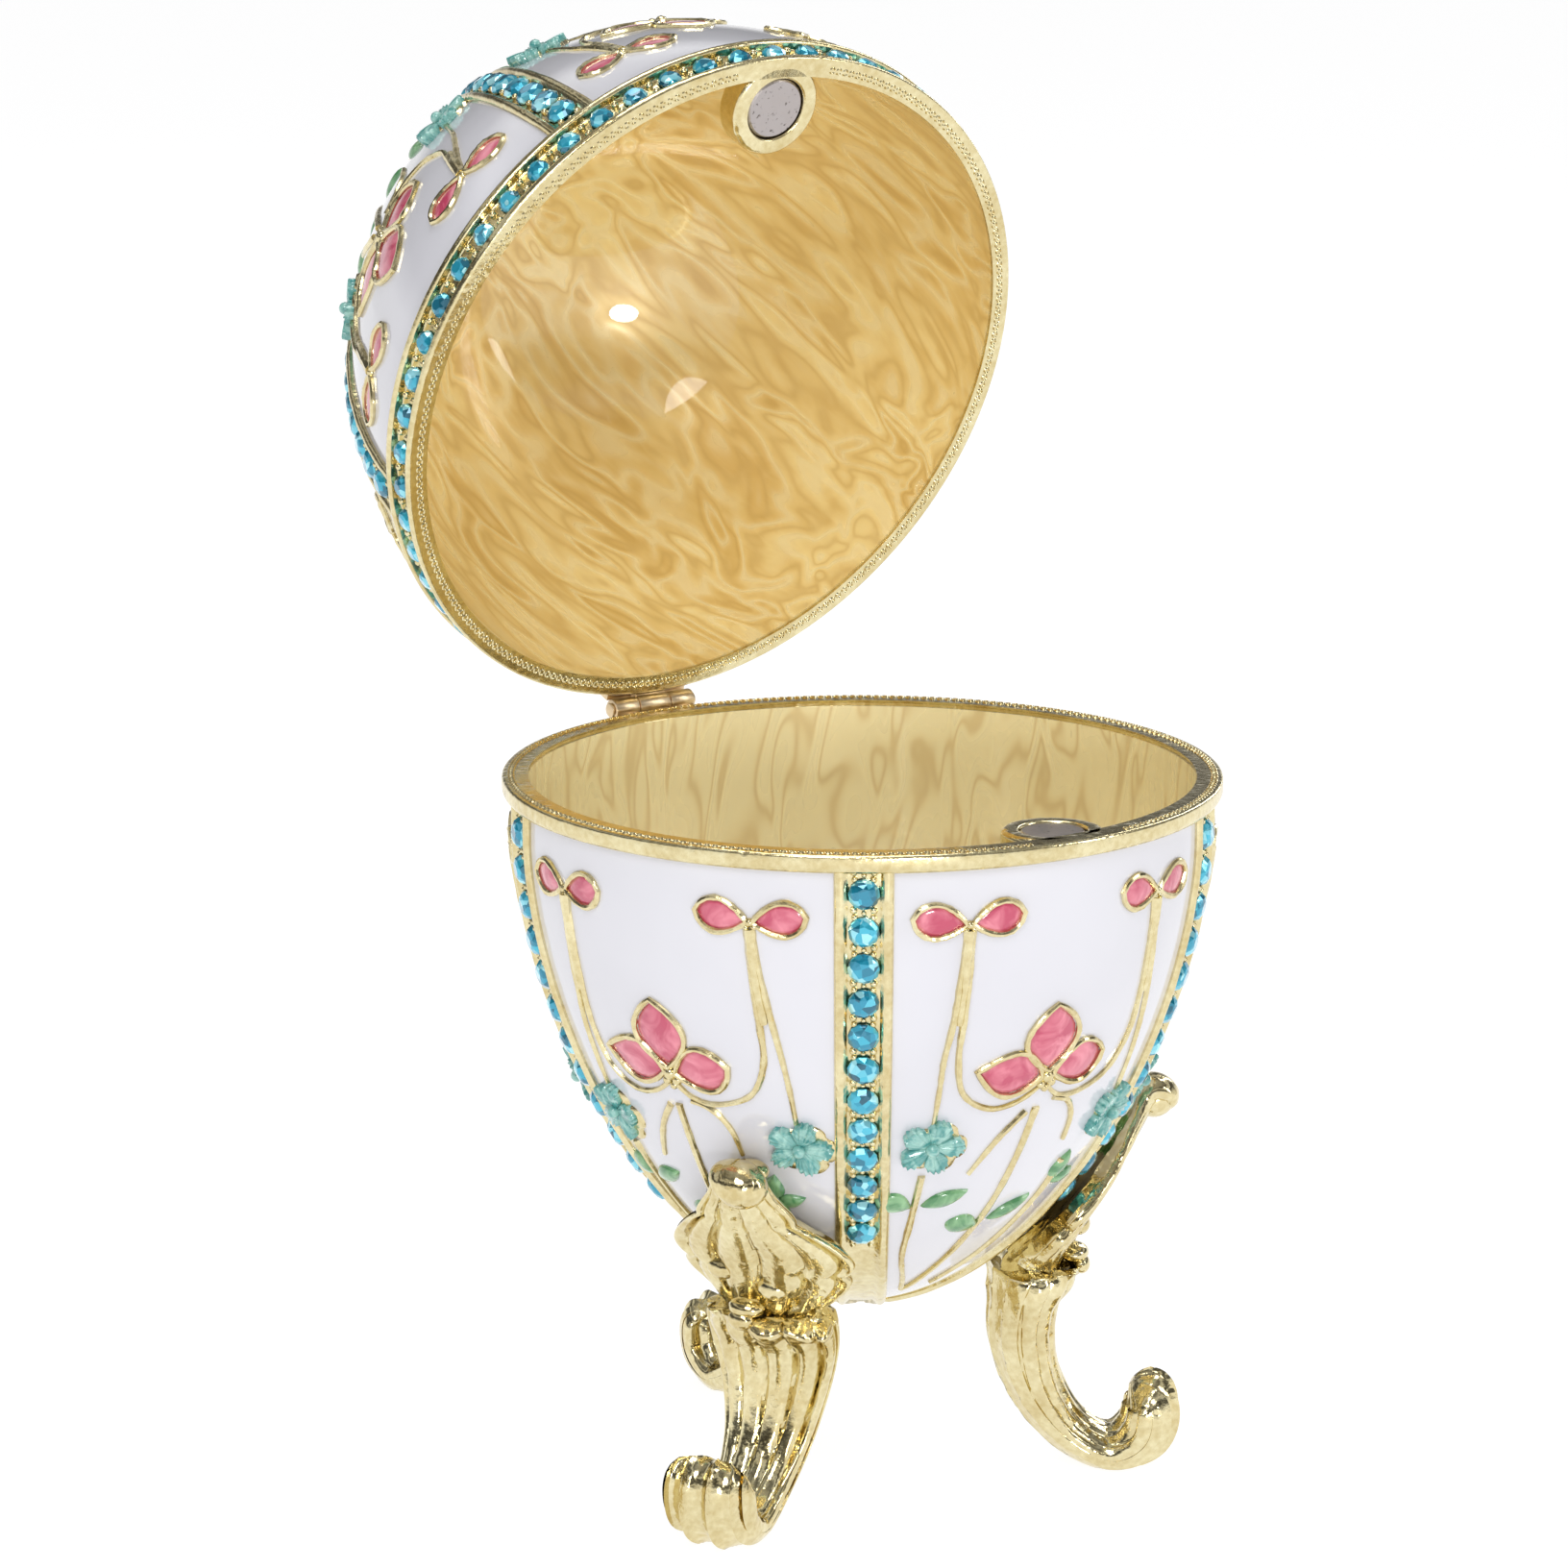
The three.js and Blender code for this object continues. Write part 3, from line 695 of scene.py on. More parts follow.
def buildStrips(finishes):
    for oval in (bowl, lid):
        table = alongTable(oval)
        first = oval["rimHeight"] - shell["enamel"]
        length = table[-1][0] - strip["short"]
        start = next(pair[0] for pair in table if pair[1] >= first)

        def mapping(turn, share):
            run = start + (length - start) * share
            height = between(table, run)
            half = strip["width"] / 2 * (1 - (1 - strip["taper"]) * share)
            half = min(half, ovalRadius(oval, height) * math.pi / shell["panels"] * 0.98)
            dx, lift = stripSection(turn, half)
            wobble = noise.noise(Vector((run * 0.5, 3, dx * 2))) * strip["wobble"]
            return onShell(oval, math.degrees(dx / ovalRadius(oval, height)), height, lift + wobble)

        template = keptMesh(lofted(strip["turns"], strip["rings"], mapping))
        bm = bmesh.new()
        for azimuth in stripAzimuths():
            addCopy(bm, template, Matrix.Rotation(math.radians(azimuth), 4, "Z"))
        bpy.data.meshes.remove(template)
        keepPiece(f"{oval['name']}_strips", bm, finishes["gold"], oval["rideOn"],
                  oval["matrix"], sharp=60)


# Stones and the little beads that hold them

stones = {
    "size": 2.42, "pitch": 2.87, "height": 0.62, "seat": 0.1,
    "bandSize": 2.0, "bandCount": 55,
    "spread": (0.95, 1.02),  # of their sizes
    "tilt": 0.05,  # radians
    # of a stone of unit radius: radius, height, corners, and the turn of its corners in steps
    "cut": [(1.0, 0.0, 12, 0), (1.0, 0.14, 12, 0), (0.78, 0.5, 8, 0.5), (0.5, 0.66, 8, 0)],
    # beads between two stones: sideways, towards the pole, radius
    "beads": [
        (-0.75, 0.22, 0.30), (0.75, 0.2, 0.30), (-0.68, -0.34, 0.26), (0.7, -0.35, 0.27), (0.0, 0.0, 0.22),
    ],
    "beadLift": 0.04,
    "bandBeads": [(0.55, 0.34), (-0.55, 0.34)],  # up or down from the band's middle, radius
    "bandBeadLift": 0.12,
}


def keptMesh(bm):
    mesh = bpy.data.meshes.new("template")
    bm.to_mesh(mesh)
    bm.free()
    return mesh


# A cut stone of unit radius: girdle, crown and table
def stoneTemplate():
    bm = bmesh.new()
    for radius, height, count, turn in stones["cut"]:
        for i in range(count):
            angle = math.tau * (i + turn) / count
            bm.verts.new((radius * math.cos(angle), radius * math.sin(angle), height))
    bmesh.ops.convex_hull(bm, input=bm.verts)
    return keptMesh(bm)


# Matrix at a place on a casting: x sideways, y towards the pole, z outwards
def frameAt(oval, azimuth, height, lift=0.0):
    origin = onShell(oval, azimuth, height, lift)
    out = (onShell(oval, azimuth, height, lift + 1) - origin).normalized()
    angle = math.radians(azimuth)
    sideways = Vector((-math.sin(angle), math.cos(angle), 0))
    toPole = out.cross(sideways)
    matrix = Matrix((sideways, toPole, out)).transposed().to_4x4()
    return Matrix.Translation(origin) @ matrix


def addCopy(bm, template, matrix):
    before = len(bm.verts)
    bm.from_mesh(template)
    bm.verts.ensure_lookup_table()
    bmesh.ops.transform(bm, matrix=matrix, verts=bm.verts[before:])


def addBead(bm, matrix, radius):
    verts = bmesh.ops.create_uvsphere(bm, u_segments=8, v_segments=5, radius=radius * mm)["verts"]
    bmesh.ops.transform(bm, matrix=matrix, verts=verts)


# The same on the lid's stone band, by the turn round the lid and the height above its rim
def bandFrame(turn, height, lift=0.0):
    radius = (lid["body"] - rim["bandDepth"] + lift) * mm
    origin = Vector((radius * math.cos(turn), radius * math.sin(turn), height * mm))
    out = Vector((math.cos(turn), math.sin(turn), 0))
    sideways = Vector((-math.sin(turn), math.cos(turn), 0))
    return Matrix.Translation(origin) @ Matrix((sideways, out.cross(sideways), out)).transposed().to_4x4()


def stoneShape(size):
    radius = size / 2 * random.uniform(*stones["spread"]) * mm
    tall = stones["height"] * mm / stones["cut"][-1][1]
    return Matrix.Diagonal((radius, radius, tall, 1))


def leaned(axis):
    return Matrix.Rotation(random.uniform(-stones["tilt"], stones["tilt"]), 4, axis)


def spunAbout():
    return Matrix.Rotation(random.uniform(0, math.tau), 4, "Z")


def buildStones(finishes):
    template = stoneTemplate()
    for oval in (bowl, lid):
        table = alongTable(oval)
        bm, beads = bmesh.new(), bmesh.new()
        for azimuth in stripAzimuths():
            for i in range(oval["rowStones"] + 1):
                run = oval["rowStart"] + stones["pitch"] * i
                gap = frameAt(oval, azimuth, between(table, run - stones["pitch"] / 2), strip["floor"])
                for x, y, size in stones["beads"]:
                    addBead(beads, gap @ Matrix.Translation((x * mm, y * mm, stones["beadLift"] * mm)), size)
                if i == oval["rowStones"]:
                    continue
                seat = frameAt(oval, azimuth, between(table, run), strip["floor"] + stones["seat"])
                shape = stoneShape(stones["size"])
                tilt = leaned("X") @ leaned("Y")
                addCopy(bm, template, seat @ tilt @ spunAbout() @ shape)
        rows = [f"{oval['name']}_stone_row_{i}" for i in range(1, shell["panels"] + 1)]
        keepPiece(f"{oval['name']}_strip_stones", bm, finishes["stone"], oval["rideOn"],
                  oval["matrix"], sharp=1, replaces=rows)
        keepPiece(f"{oval['name']}_strip_beads", beads, finishes["gold"], oval["rideOn"],
                  oval["matrix"], sharp=180)
    buildBand(finishes, template)
    bpy.data.meshes.remove(template)


def buildBand(finishes, template):
    bm, beads = bmesh.new(), bmesh.new()
    pitch = math.tau / stones["bandCount"]
    middle = rim["lip"] + rim["band"] / 2
    for i in range(stones["bandCount"]):
        turn = -math.pi / 2 + pitch * i
        gap = bandFrame(turn + pitch / 2, middle, stones["bandBeadLift"])
        for y, size in stones["bandBeads"]:
            addBead(beads, gap @ Matrix.Translation((0, y * mm, 0)), size)
        behindHinge = abs(math.remainder(turn - math.pi / 2, math.tau)) < pitch * 1.6
        if behindHinge:
            continue
        shape = stoneShape(stones["bandSize"])
        addCopy(bm, template, bandFrame(turn, middle, stones["seat"]) @ spunAbout() @ shape)
    keepPiece("lid_band_stones", bm, finishes["stone"], "lid", lid["matrix"], sharp=1,
              replaces=["lid_stone_band"])
    keepPiece("lid_band_beads", beads, finishes["gold"], "lid", lid["matrix"], sharp=180)


# Raised flowers of a panel. Places are (degrees from the panel's middle, mm from the bowl's rim), and a
# petal's turn is measured from straight down to the pole, positive towards the rising degrees.

motif = {
    "wire": 0.27, "petalRim": 0.25, "knot": 0.5,
    "bows": [(-19.4, 5.6), (18.1, 5.5)],
    # a petal: turn, length, width, and how pointed its tip is from 0 to 1
    "bowPetals": [(-98, 4.1, 2.6, 0.0), (98, 4.1, 2.6, 0.0)],
    "junction": (-0.9, 18.9),
    "flowerPetals": [(184, 6.0, 4.7, 0.55), (-101, 5.9, 3.9, 0.85), (104, 5.0, 3.8, 0.25)],
    "rosettes": [(-22.4, 23.9), (23.6, 24.0)],
    "rosette": 2.5, "rosetteLobes": 5, "rosetteRidges": 35, "rosetteEye": 0.52,
    "wireLift": 0.12,  # of a wire's middle above the enamel
    "uneven": (0.85, 1.15), "stemUneven": (0.88, 1.12),  # of the wires' thickness
    "dent": 0.16, "leafSwell": 0.1,  # a petal's fill is sunk, a leaf's stands up
    "petalCells": (24, 8), "rosetteCells": (96, 12), "backCells": (48, 8),
    "outlineSteps": 28, "stemSteps": 6,
    # lumps where petals and stems meet: sideways, towards the pole, size
    "lumps": [(0, 0, 1.0), (0.45, 0.5, 0.75), (-0.4, 0.6, 0.7), (0.05, 1.0, 0.6)],
    "stems": [
        [(-19.6, 6.2), (-20.2, 9.5), (-21.0, 13.5), (-22.0, 16.5), (-22.2, 19.0), (-22.5, 22.6)],
        [(-19.0, 6.2), (-19.0, 9.5), (-19.2, 13.0), (-19.4, 16.5), (-17.6, 19.6), (-11.9, 21.1), (-6.0, 20.8),
         (-1.4, 19.6)],
        [(18.2, 6.2), (19.2, 9.5), (20.6, 13.0), (22.0, 16.5), (22.9, 19.5), (23.4, 22.4)],
        [(17.8, 6.2), (18.0, 9.5), (18.6, 13.5), (18.6, 17.0), (15.4, 19.8), (8.5, 21.0), (3.0, 20.8),
         (-0.6, 19.6)],
        [(2.4, 21.0), (6.6, 21.6), (9.6, 23.2), (10.6, 25.4)],
        [(-3.4, 21.8), (-8.0, 24.0), (-12.5, 27.0)],
        [(-1.2, 21.6), (-1.6, 26.0), (-3.0, 31.0), (-7.0, 35.5), (-12.5, 38.6), (-16.0, 39.4)],
        [(-23.2, 26.8), (-23.6, 31.0), (-23.0, 35.5), (-16.0, 39.4)],
        [(14.6, 27.5), (13.6, 31.0), (8.0, 35.5), (-2.0, 39.0)],
    ],
    "bands": [[(-19.3, 6.0), (-19.6, 10.0), (-20.0, 13.6)], [(18.0, 6.0), (18.6, 10.0), (19.4, 13.6)]],
    "leaves": [
        ((-23.5, 29.9), (-112, 3.5, 2.5, 0.3)), ((-23.0, 29.9), (112, 4.4, 1.9, 0.8)),
        ((-2.8, 32.4), (-105, 3.4, 2.4, 0.1)), ((-2.2, 32.2), (122, 4.6, 1.6, 1.0)),
        ((14.3, 29.6), (165, 3.4, 2.1, 1.0)), ((14.6, 29.8), (110, 3.0, 1.6, 0.8)),
    ],
}
# the lid's height above its rim for a depth on the bowl
lidHeights = [(0.0, 3.4), (5.5, 8.8), (18.7, 16.0), (24.0, 21.0), (32.0, 26.6), (40.0, 31.6)]


# Places the motif on one panel of a casting
class Panel:
    def __init__(self, oval, index):
        self.oval = oval
        self.middle = -90 + 360 / shell["panels"] * index
        self.mirror = -1 if index % 2 else 1

    def height(self, depth):
        return depth if self.oval is bowl else between(lidHeights, depth)

    def spot(self, offset, depth, lift=0.0):
        return onShell(self.oval, self.middle + self.mirror * offset, self.height(depth), lift)

    def by(self, anchor, dx, dy, lift=0.0):
        offset, depth = anchor
        azimuth = self.middle + self.mirror * offset
        return nearby(self.oval, azimuth, self.height(depth), self.mirror * dx, dy, lift)


# Half a petal's width at a share of its length
def petalSide(share, width, point):
    share = min(max(share, 0), 1)
    swell = max(math.sin(math.pi * share ** (1.3 - 0.5 * point)), 0)
    return width / 2 * swell ** (0.6 + 0.45 * point)


# Sideways and towards the pole after a turn in degrees
def turnedBy(turn, x, y):
    angle = math.radians(turn)
    return x * math.cos(angle) + y * math.sin(angle), -x * math.sin(angle) + y * math.cos(angle)


def addPetal(panel, anchor, shape, pool, wires, root=0.5, thick=0.42, share=0.9):
    turn, length, width, point = shape
    dent = motif["dent"] if wires is not None else -motif["leafSwell"]

    def fill(x, y, z):
        along = (y + 1) / 2
        across = x / max(math.sqrt(max(1 - y * y, 0)), 1e-4) if abs(y) < 0.999 else 0
        side = across * petalSide(along, width, point) * share
        dx, dy = turnedBy(turn, side, root + length * ((1 - share) / 2 + along * share))
        return panel.by(anchor, dx, dy, z * thick - dent * max(z, 0))

    pillow(pool, *motif["petalCells"], fill)
    if wires is None:
        return
    steps = motif["outlineSteps"] // 2
    outline = []
    for i in range(2 * steps):
        along = i / steps if i <= steps else 2 - i / steps
        side = petalSide(along, width, point) * (1 if i <= steps else -1)
        outline.append(turnedBy(turn, side, root + length * along))
    points = [
        (panel.by(anchor, dx, dy, motif["wireLift"]),
         motif["petalRim"] * random.uniform(*motif["uneven"]) * mm)
        for dx, dy in outline
    ]
    wires.append((points, True))


def addRosette(panel, anchor, blooms, backs):
    size, lobes = motif["rosette"], motif["rosetteLobes"]
    start = random.uniform(0, math.tau)

    def bloom(x, y, z):
        reach, turn = math.hypot(x, y), math.atan2(y, x) + start
        lobe = abs(math.cos(lobes / 2 * turn)) ** 0.55
        ridge = math.cos(motif["rosetteRidges"] * turn)
        rag = 1 + 0.05 * ridge * reach ** 4
        out = size * reach * (1 - (1 - lobe) * (0.42 * reach + 0.1)) * rag
        rise = 0.42 + 0.36 * (1 - (1 - reach) ** 2) * lobe + 0.09 * ridge * reach
        lift = rise if z > 0 else -0.1
        if reach > 0.98:
            lift = 0.35
        return panel.by(anchor, out * math.cos(turn), out * math.sin(turn), lift)

    def back(x, y, z):
        reach, turn = math.hypot(x, y), math.atan2(y, x) + start + 0.35
        lobe = abs(math.cos(lobes / 2 * turn)) ** 0.5
        out = size * 1.02 * reach * (0.72 + 0.28 * lobe)
        lift = 0.34 - 0.08 * reach if z > 0 else -0.1
        return panel.by(anchor, out * math.cos(turn) + 0.45, out * math.sin(turn) + 0.35, lift)

    pillow(blooms, *motif["rosetteCells"], bloom)
    pillow(backs, *motif["backCells"], back)
    middle = panel.by(anchor, 0, 0, 0.72)
    bmesh.ops.create_uvsphere(blooms, u_segments=12, v_segments=8, radius=motif["rosetteEye"] * mm,
                              matrix=Matrix.Translation(middle))


# The small lumps where petals and stems meet
def addKnot(panel, anchor, knots, swell):
    for dx, dy, size in motif["lumps"]:
        middle = panel.by(anchor, dx * swell, dy * swell, 0.1)
        radius = motif["knot"] * size * swell * mm
        bmesh.ops.create_uvsphere(knots, u_segments=10, v_segments=6, radius=radius,
                                  matrix=Matrix.Translation(middle))


# A tapering wire along a stem, a little uneven as a hand-laid one is
def stemWire(panel, stem, swell):
    path = smoothPath(stem, motif["stemSteps"])
    points = []
    for i, (offset, depth) in enumerate(path):
        share = i / (len(path) - 1)
        thick = motif["wire"] * (1.2 - 0.45 * share) * swell * random.uniform(*motif["stemUneven"])
        points.append((panel.spot(offset, depth, motif["wireLift"] - thick * 0.3), thick * mm))
    return points


def buildMotifs(finishes):
    for oval in (bowl, lid):
        rose, green, blooms, backs = bmesh.new(), bmesh.new(), bmesh.new(), bmesh.new()
        wires = []
        for index in range(shell["panels"]):
            panel = Panel(oval, index)
            for bow in motif["bows"]:
                for shape in motif["bowPetals"]:
                    addPetal(panel, bow, shape, rose, wires, root=0.25, thick=0.36)
                addKnot(panel, bow, backs, 0.7)
            for shape in motif["flowerPetals"]:
                addPetal(panel, motif["junction"], shape, rose, wires)
            addKnot(panel, motif["junction"], backs, 1.1)
            for anchor, shape in motif["leaves"]:
                addPetal(panel, anchor, shape, green, None, root=0.1, thick=0.4)
            for anchor in motif["rosettes"]:
                addRosette(panel, anchor, blooms, backs)
            for stem in motif["stems"]:
                wires.append((stemWire(panel, stem, 1.0), False))
            for band in motif["bands"]:
                wires.append((stemWire(panel, band, 1.7), False))
        name, body = oval["name"], oval["rideOn"]
        keepPiece(f"{name}_rose_petals", rose, finishes["rose"], body, oval["matrix"])
        keepPiece(f"{name}_leaves", green, finishes["green"], body, oval["matrix"])
        keepPiece(f"{name}_turquoise_flowers", blooms, finishes["turquoise"], body,
                  oval["matrix"], sharp=70)
        keepPiece(f"{name}_flower_backs", backs, finishes["gold"], body,
                  oval["matrix"], sharp=70)
        keepPiece(f"{name}_wires", wireMesh(f"{name}_wires", wires, 2), finishes["gold"], body,
                  oval["matrix"])


# Magnet catch

catch = {
    "reach": 23.9, "magnet": 4.9, "recess": 0.12, "depth": 1.6, "bevel": 0.15,
    "lug": 7.8, "thick": 2.6, "seat": 1.9, "play": 0.12, "edge": 0.25, "back": 0.5,
    "inset": 0.7,  # the lug stays this far inside the shell's outside
    "soft": 0.2, "lugSteps": 64, "magnetSteps": 48,
}


def buildCatch(finishes):
    for oval in (bowl, lid):
        inward = oval["side"]
        radius, hole = catch["lug"] / 2, catch["magnet"] / 2 + catch["play"]
        edge, back, thick = catch["edge"], catch["back"], catch["thick"]
        outline = [(hole, catch["seat"]), (hole, 0.0), (radius - edge, 0.0), (radius, edge),
                   (radius, thick - back), (radius - back, thick), (0.01, thick), (0.01, catch["seat"])]
        bm = spun([(r, inward * h) for r, h in rounded(outline, catch["soft"])], catch["lugSteps"])
        moved = Matrix.Translation(Vector((0, -catch["reach"], 0)) * mm)
        keepIn = (oval["body"] - catch["inset"]) * mm
        for vert in bm.verts:
            reach = math.hypot(vert.co.x, vert.co.y - catch["reach"] * mm)
            if reach > keepIn:
                vert.co.x *= keepIn / reach
                vert.co.y = (vert.co.y - catch["reach"] * mm) * keepIn / reach + catch["reach"] * mm
        keepPiece(f"{oval['name']}_catch_lug", bm, finishes["gold"], oval["rideOn"],
                  oval["matrix"] @ moved)
        disc, recess, bevel = catch["magnet"] / 2, catch["recess"], catch["bevel"]
        face = [(0.0, recess), (disc - bevel, recess), (disc, recess + bevel), (disc, catch["depth"]),
                (0.0, catch["depth"])]
        bm = spun([(r, inward * h) for r, h in face], catch["magnetSteps"])
        keepPiece(f"{oval['name']}_magnet_disc", bm, finishes["steel"], oval["rideOn"],
                  oval["matrix"] @ moved, replaces=[f"{oval['name']}_magnet"])


# Hinge: two small leaves and three knuckles on one pin

hinge = {
    "barrel": 0.85, "length": 7.7, "middle": 3.0, "gap": 0.06, "bevel": 0.1,
    "pin": 0.4, "pinEnd": 0.1, "head": 0.25, "headRadius": 0.58, "headGap": 0.04,
    "leaf": 0.6, "leafBevel": 0.12,
    "leafOut": 0.1,  # from the outside of the lid's lip to its leaf
}


def barrel(bm, start, end, radius):
    verts = bmesh.ops.create_cone(bm, cap_ends=True, segments=40, radius1=radius * mm, radius2=radius * mm,
                                  depth=(end - start) * mm)["verts"]
    ends = [edge for vert in verts for edge in vert.link_edges if len(edge.link_faces) == 2
            and abs(edge.verts[0].co.z - edge.verts[1].co.z) < 1e-9]
    bevelled = bmesh.ops.bevel(bm, geom=list(set(ends)), offset=hinge["bevel"] * mm, segments=2, profile=0.5,
                               affect="EDGES", material=-1)["verts"]
    lay = Matrix.Translation(((start + end) / 2 * mm, 0, 0)) @ Matrix.Rotation(math.pi / 2, 4, "Y")
    kept = {*verts, *bevelled} & set(bm.verts)
    bmesh.ops.transform(bm, matrix=Matrix.Translation(hingePoint) @ lay, verts=list(kept))


def slab(bm, low, high):
    made = bmesh.ops.create_cube(bm, size=1)["verts"]
    size = [(b - a) for a, b in zip(low, high)]
    middle = [(a + b) / 2 for a, b in zip(low, high)]
    bmesh.ops.transform(bm, matrix=Matrix.Translation(middle) @ Matrix.Diagonal((*size, 1)), verts=made)
    edges = list({edge for vert in made for edge in vert.link_edges})
    bmesh.ops.bevel(bm, geom=edges, offset=hinge["leafBevel"] * mm, segments=2, profile=0.5,
                    affect="EDGES", material=-1)


def buildHinge(finishes):
    half, knuckle, gap = hinge["length"] / 2, hinge["middle"] / 2, hinge["gap"]
    radius, thick = hinge["barrel"], hinge["leaf"] * mm
    clear, web = (radius + gap) * mm, radius * 0.4 * mm  # heights of the leaf's edge and of a knuckle's web
    low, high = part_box("hinge_bowl_leaf")
    bm = bmesh.new()
    slab(bm, (low.x, low.y, low.z), (high.x, low.y + thick, hingePoint.z - clear))
    for start, end in ((-half, -knuckle - gap), (knuckle + gap, half)):
        slab(bm, (start * mm, low.y, low.z), (end * mm, hingePoint.y, hingePoint.z - web))
        barrel(bm, start, end, radius)
    keepPiece("bowl_hinge_leaf", bm, finishes["hinge"], "base", replaces=["hinge_bowl_leaf"])

    rimY = (place["rimRadius"] + rim["lidOverhang"] + hinge["leafOut"]) * mm + axisY
    top = rimCentre.z + (place["rimGap"] + rim["lip"] + rim["band"]) * mm
    bm = bmesh.new()
    slab(bm, (-half * mm, rimY, hingePoint.z + clear), (half * mm, rimY + thick, top))
    slab(bm, (-knuckle * mm, rimY, hingePoint.z + web), (knuckle * mm, rimY + thick, top))
    barrel(bm, -knuckle, knuckle, radius)
    keepPiece("lid_hinge_leaf", bm, finishes["hinge"], "lid", matrix=swing,
              replaces=["hinge_lid_leaf"])

    bm = bmesh.new()
    near, far = half + hinge["headGap"], half + hinge["head"]
    barrel(bm, -far, -near, hinge["headRadius"])
    barrel(bm, near, far, hinge["headRadius"])
    barrel(bm, -half - hinge["pinEnd"], half + hinge["pinEnd"], hinge["pin"])
    keepPiece("hinge_pin_rod", bm, finishes["hinge"], "base", replaces=["hinge_pin"])


# Legs

leg = {
    "turn": -6.4, "count": 3, "stand": 56.6, "width": 14.8,
    "turns": 176, "rings": 240,
    "fanRibs": 6, "collarRibs": 6, "footLobes": 5, "lobe": 0.85,
    "lean": 3.4,  # how far the curled tip stands to one side
    "leanEnd": 0.42,  # share of the way down where the lean ends
    "waist": 0.47,  # share of the way down where the lower collar starts
    "wrapEnd": 0.44,  # share of the way down where the fan stops following the bowl
    "footStart": 0.8,  # share of the way down where the foot's lobes start
    # from the curled tip down to the foot: share of the bowl's radius, share of its depth and then of the
    # room under it, width and depth as shares of the greatest width, strength of the ribs
    "stations": [
        (0.901, 0.664, 0.149, 0.068, 0), (0.894, 0.627, 0.257, 0.128, 0), (0.839, 0.617, 0.27, 0.149, 0),
        (0.78, 0.671, 0.378, 0.135, 0.4), (0.714, 0.737, 0.703, 0.149, 1), (0.63, 0.812, 1, 0.176, 1.2),
        (0.549, 0.88, 0.77, 0.243, 1.1), (0.502, 0.92, 0.568, 0.338, 0.4), (0.495, 0.944, 0.73, 0.473, 0.7),
        (0.473, 1, 0.73, 0.365, 1.2), (0.469, 1.243, 0.622, 0.338, 1), (0.513, 1.543, 0.5, 0.291, 0.8),
        (0.608, 1.793, 0.432, 0.243, 0.4), (0.729, 1.907, 0.473, 0.23, 0.2),
        (0.824, 1.807, 0.514, 0.257, 1.2), (0.842, 1.621, 0.5, 0.243, 1.2),
        (0.795, 1.521, 0.365, 0.149, 0.6),
    ],
    # balls and curls on the scroll: outwards, sideways and up from the rim, then their half sizes
    "bosses": [
        ((23.2, 3.1, -27.1), (1.75, 2.1, 1.7)), ((21.9, 3.1, -26.2), (1.3, 1.5, 0.9)),
        ((16.9, -0.3, -39.0), (1.2, 1.5, 0.8)), ((17.5, -0.5, -39.9), (0.7, 1.1, 0.8)),
        ((16.6, 1.9, -37.2), (1.0, 1.3, 1.0)), ((17.2, -2.2, -36.0), (0.9, 1.4, 0.9)),
    ],
}


# A station of the leg in mm
def legPlace(station):
    reach, drop, width, depth, ribs = station
    fall = bowl["height"] * min(drop, 1) + (leg["stand"] - bowl["height"]) * max(drop - 1, 0)
    return (reach * bowl["body"], -fall, width * leg["width"], depth * leg["width"], ribs)


# Round ridges with sharp valleys: count of them as x goes from 0 to 1
def lobe(x, count):
    fraction = 2 * (x * count % 1) - 1
    return math.sqrt(max(1 - fraction * fraction, 0))


def bell(x, middle, width):
    return math.exp(-((x - middle) / width) ** 2)


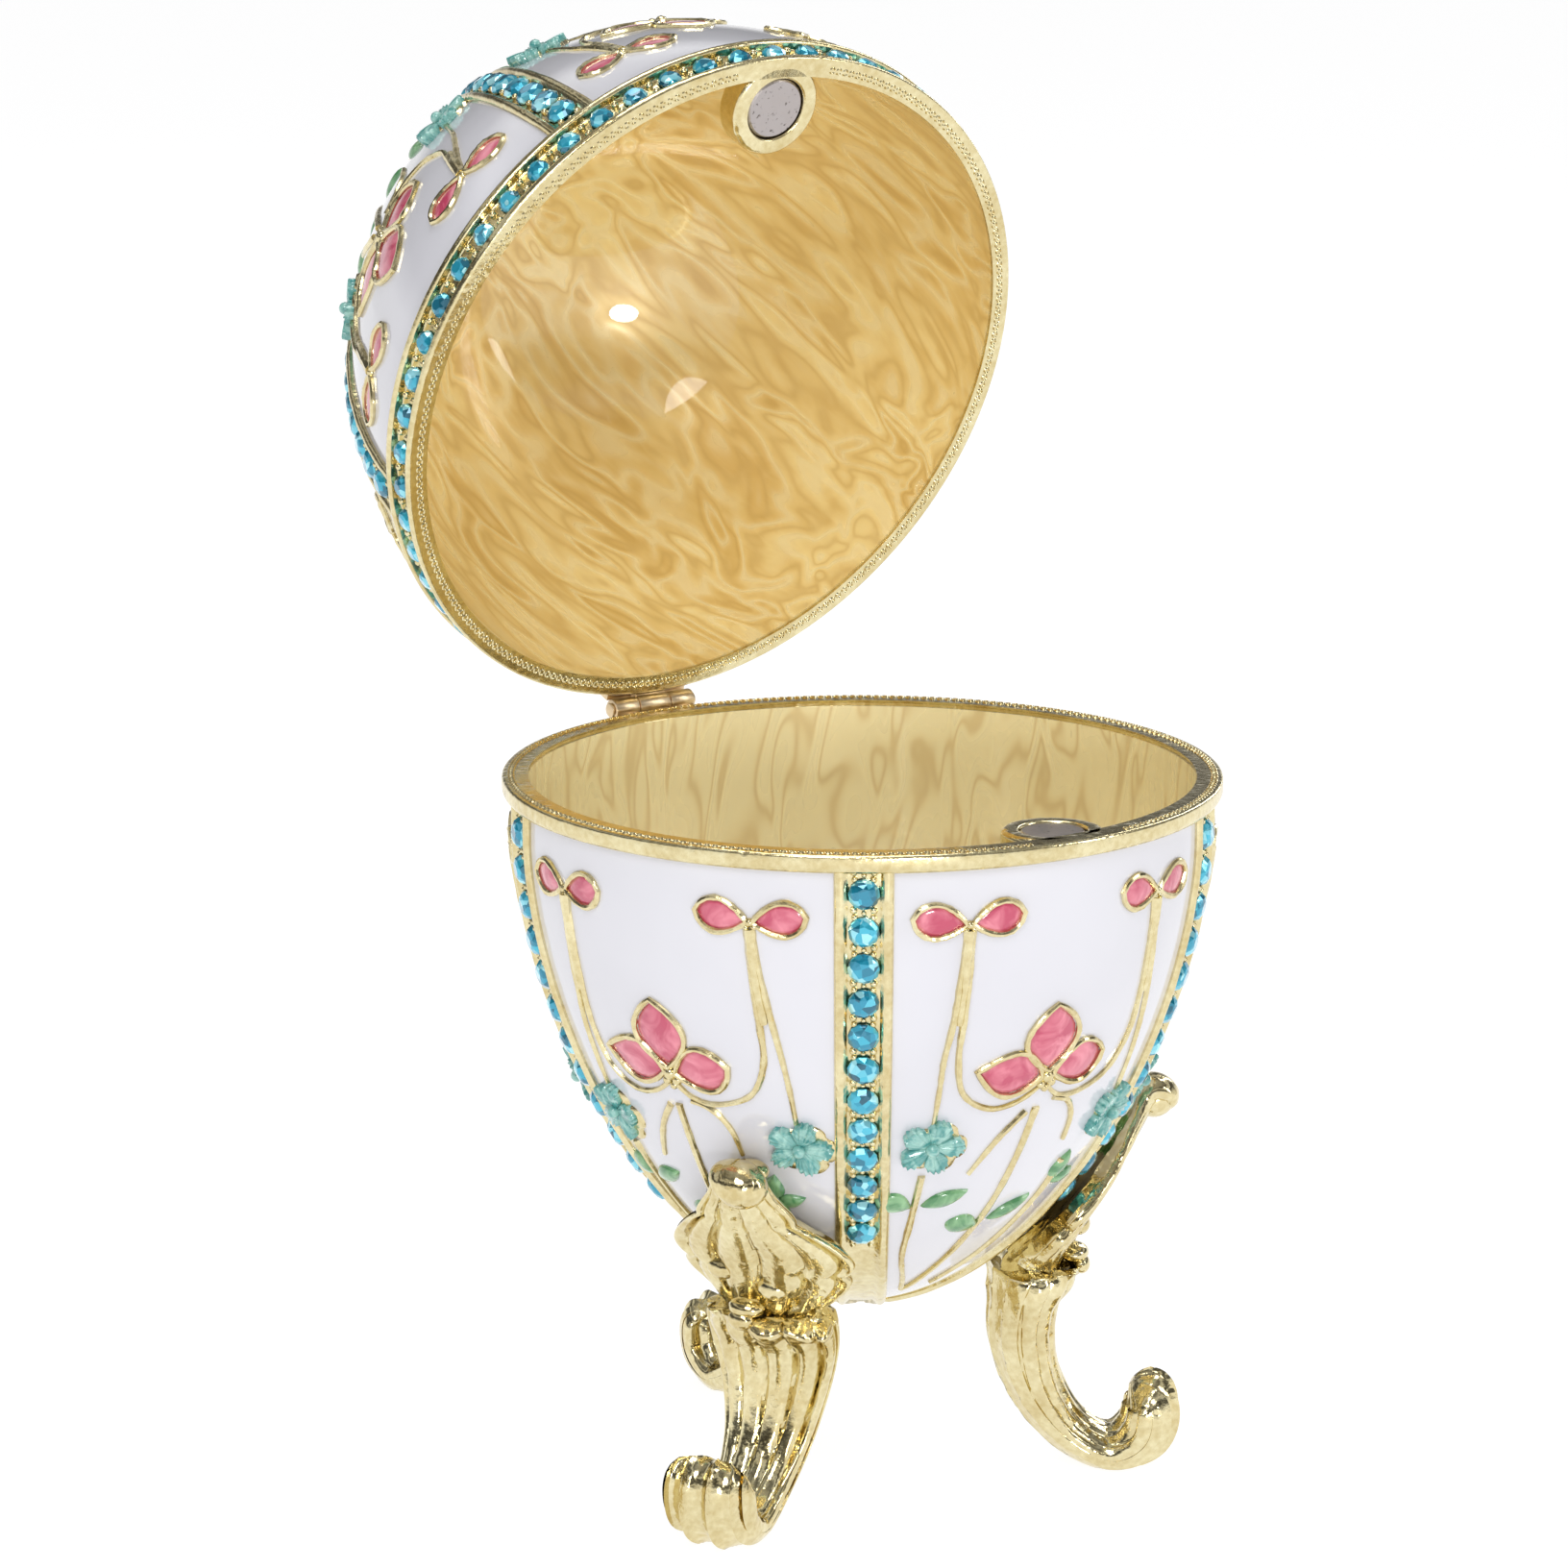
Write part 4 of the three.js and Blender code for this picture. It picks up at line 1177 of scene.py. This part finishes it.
# A point of a leg in mm, in the plane of its scroll: outwards, sideways and up
def legPoint(spine, angle, share):
    last = len(spine) - 1
    run = min(share * last, last - 1e-6)
    i = int(run)
    reach, z, width, depth, ribs = (a + (b - a) * (run - i) for a, b in zip(spine[i], spine[i + 1]))
    ahead, behind = spine[min(i + 3, last)], spine[max(i - 2, 0)]
    tangent = Vector((ahead[0] - behind[0], ahead[1] - behind[1])).normalized()
    sine, cosine = math.sin(angle), math.cos(angle)
    around = 0.5 + math.asin(max(min(sine, 1), -1)) / math.pi
    front = min(max(cosine * 3, 0), 1)
    waist = leg["waist"] + 0.022 * sine + 0.006 * math.sin(7 * angle)
    fan, foot = share < waist, share > leg["footStart"]
    coarse = noise.noise(Vector((sine * 5, share * 30, 3)))
    fine = noise.noise(Vector((sine * 14, share * 9, 8)))
    grain = coarse * 0.5 + fine * 0.5

    if fan:
        ridge = lobe(around + 0.02 * math.sin(share * 16), leg["fanRibs"])
        width *= 1 + 0.11 * bell(share, 0.27, 0.11) * (lobe(share + 0.04, 11) - 0.6) * 2.4
    elif foot:
        ridge = lobe(around, leg["footLobes"])
    else:
        ridge = lobe(around + 0.02 * math.sin(share * 18), leg["collarRibs"])
    facing = 1.15 if foot else min(max(0.8 + 1.2 * cosine, 0.45), 1)  # the back is plainer than the front
    relief = leg["lobe"] * ribs * (ridge - 0.75) * facing
    lip = bell(share, waist + 0.014, 0.012) * (0.55 + 0.35 * lobe(around, 6)) * (0.4 + 0.6 * front)
    groove = -0.5 * bell(share, waist - 0.012, 0.012) * front
    flare = 0.5 * abs(sine) ** 6 * bell(share, 0.3, 0.09)
    ends = math.sqrt(max(min(1, share / 0.03, (1 - share) / 0.035), 0.0004))
    out = (depth / 2 * cosine + relief + flare) * ends + lip + groove + 0.1 * grain * (0.3 + front)
    spread = (0.25 if foot else 0.7) * relief * abs(sine)
    lean = leg["lean"] * max(1 - share / leg["leanEnd"], 0)
    side = (width / 2 + lip * 0.7 + spread) * sine * ends + lean
    wrap = side * side / (2 * reach) if share < leg["wrapEnd"] else 0
    return Vector((reach - tangent.y * out - wrap, side, max(z + tangent.x * out, -leg["stand"])))


def buildLegs(finishes):
    spine = smoothPath([legPlace(station) for station in leg["stations"]], 20)
    bm = lofted(leg["turns"], leg["rings"], lambda angle, share: legPoint(spine, angle, share) * mm)
    for middle, size in leg["bosses"]:
        shaped = Matrix.Translation(Vector(middle) * mm) @ Matrix.Diagonal((*(Vector(size) * mm), 1))
        bmesh.ops.create_uvsphere(bm, u_segments=28, v_segments=16, radius=1, matrix=shaped)
    template = keptMesh(bm)
    for index, name in enumerate(["leg_back", "leg_left", "leg_right"]):
        turn = Matrix.Rotation(math.radians(90 + leg["turn"] + index * 360 / leg["count"]), 4, "Z")
        bm = bmesh.new()
        bm.from_mesh(template)
        keepPiece(f"{name}_cast", bm, finishes["legGold"], "base", bowlPlace @ turn, sharp=75,
                  replaces=[name])
    bpy.data.meshes.remove(template)


buildCamera()
buildFloor()
buildRoom()
buildLamps()
print("camera, floor and lights set")
finishes = {
    "white": whiteEnamel(),
    "rose": tintedEnamel("rose"),
    "green": tintedEnamel("leaf"),
    "turquoise": tintedEnamel("turquoise"),
    "gold": castGold("castGold"),
    "legGold": castGold("legGold"),
    "hinge": castGold("hingeGold"),
    "bowlPearl": pearlEnamel("bowlPearl"),
    "lidPearl": pearlEnamel("lidPearl"),
    "stone": cutStone(),
    "steel": magnetSteel(),
}
print("finishes made")
buildShells(finishes)
print("shells made")
buildStamps(finishes)
buildStrips(finishes)
print("rims and strips made")
buildStones(finishes)
print("stones set")
buildMotifs(finishes)
print("flowers made")
buildCatch(finishes)
buildHinge(finishes)
print("catch and hinge made")
buildLegs(finishes)
print("legs made")
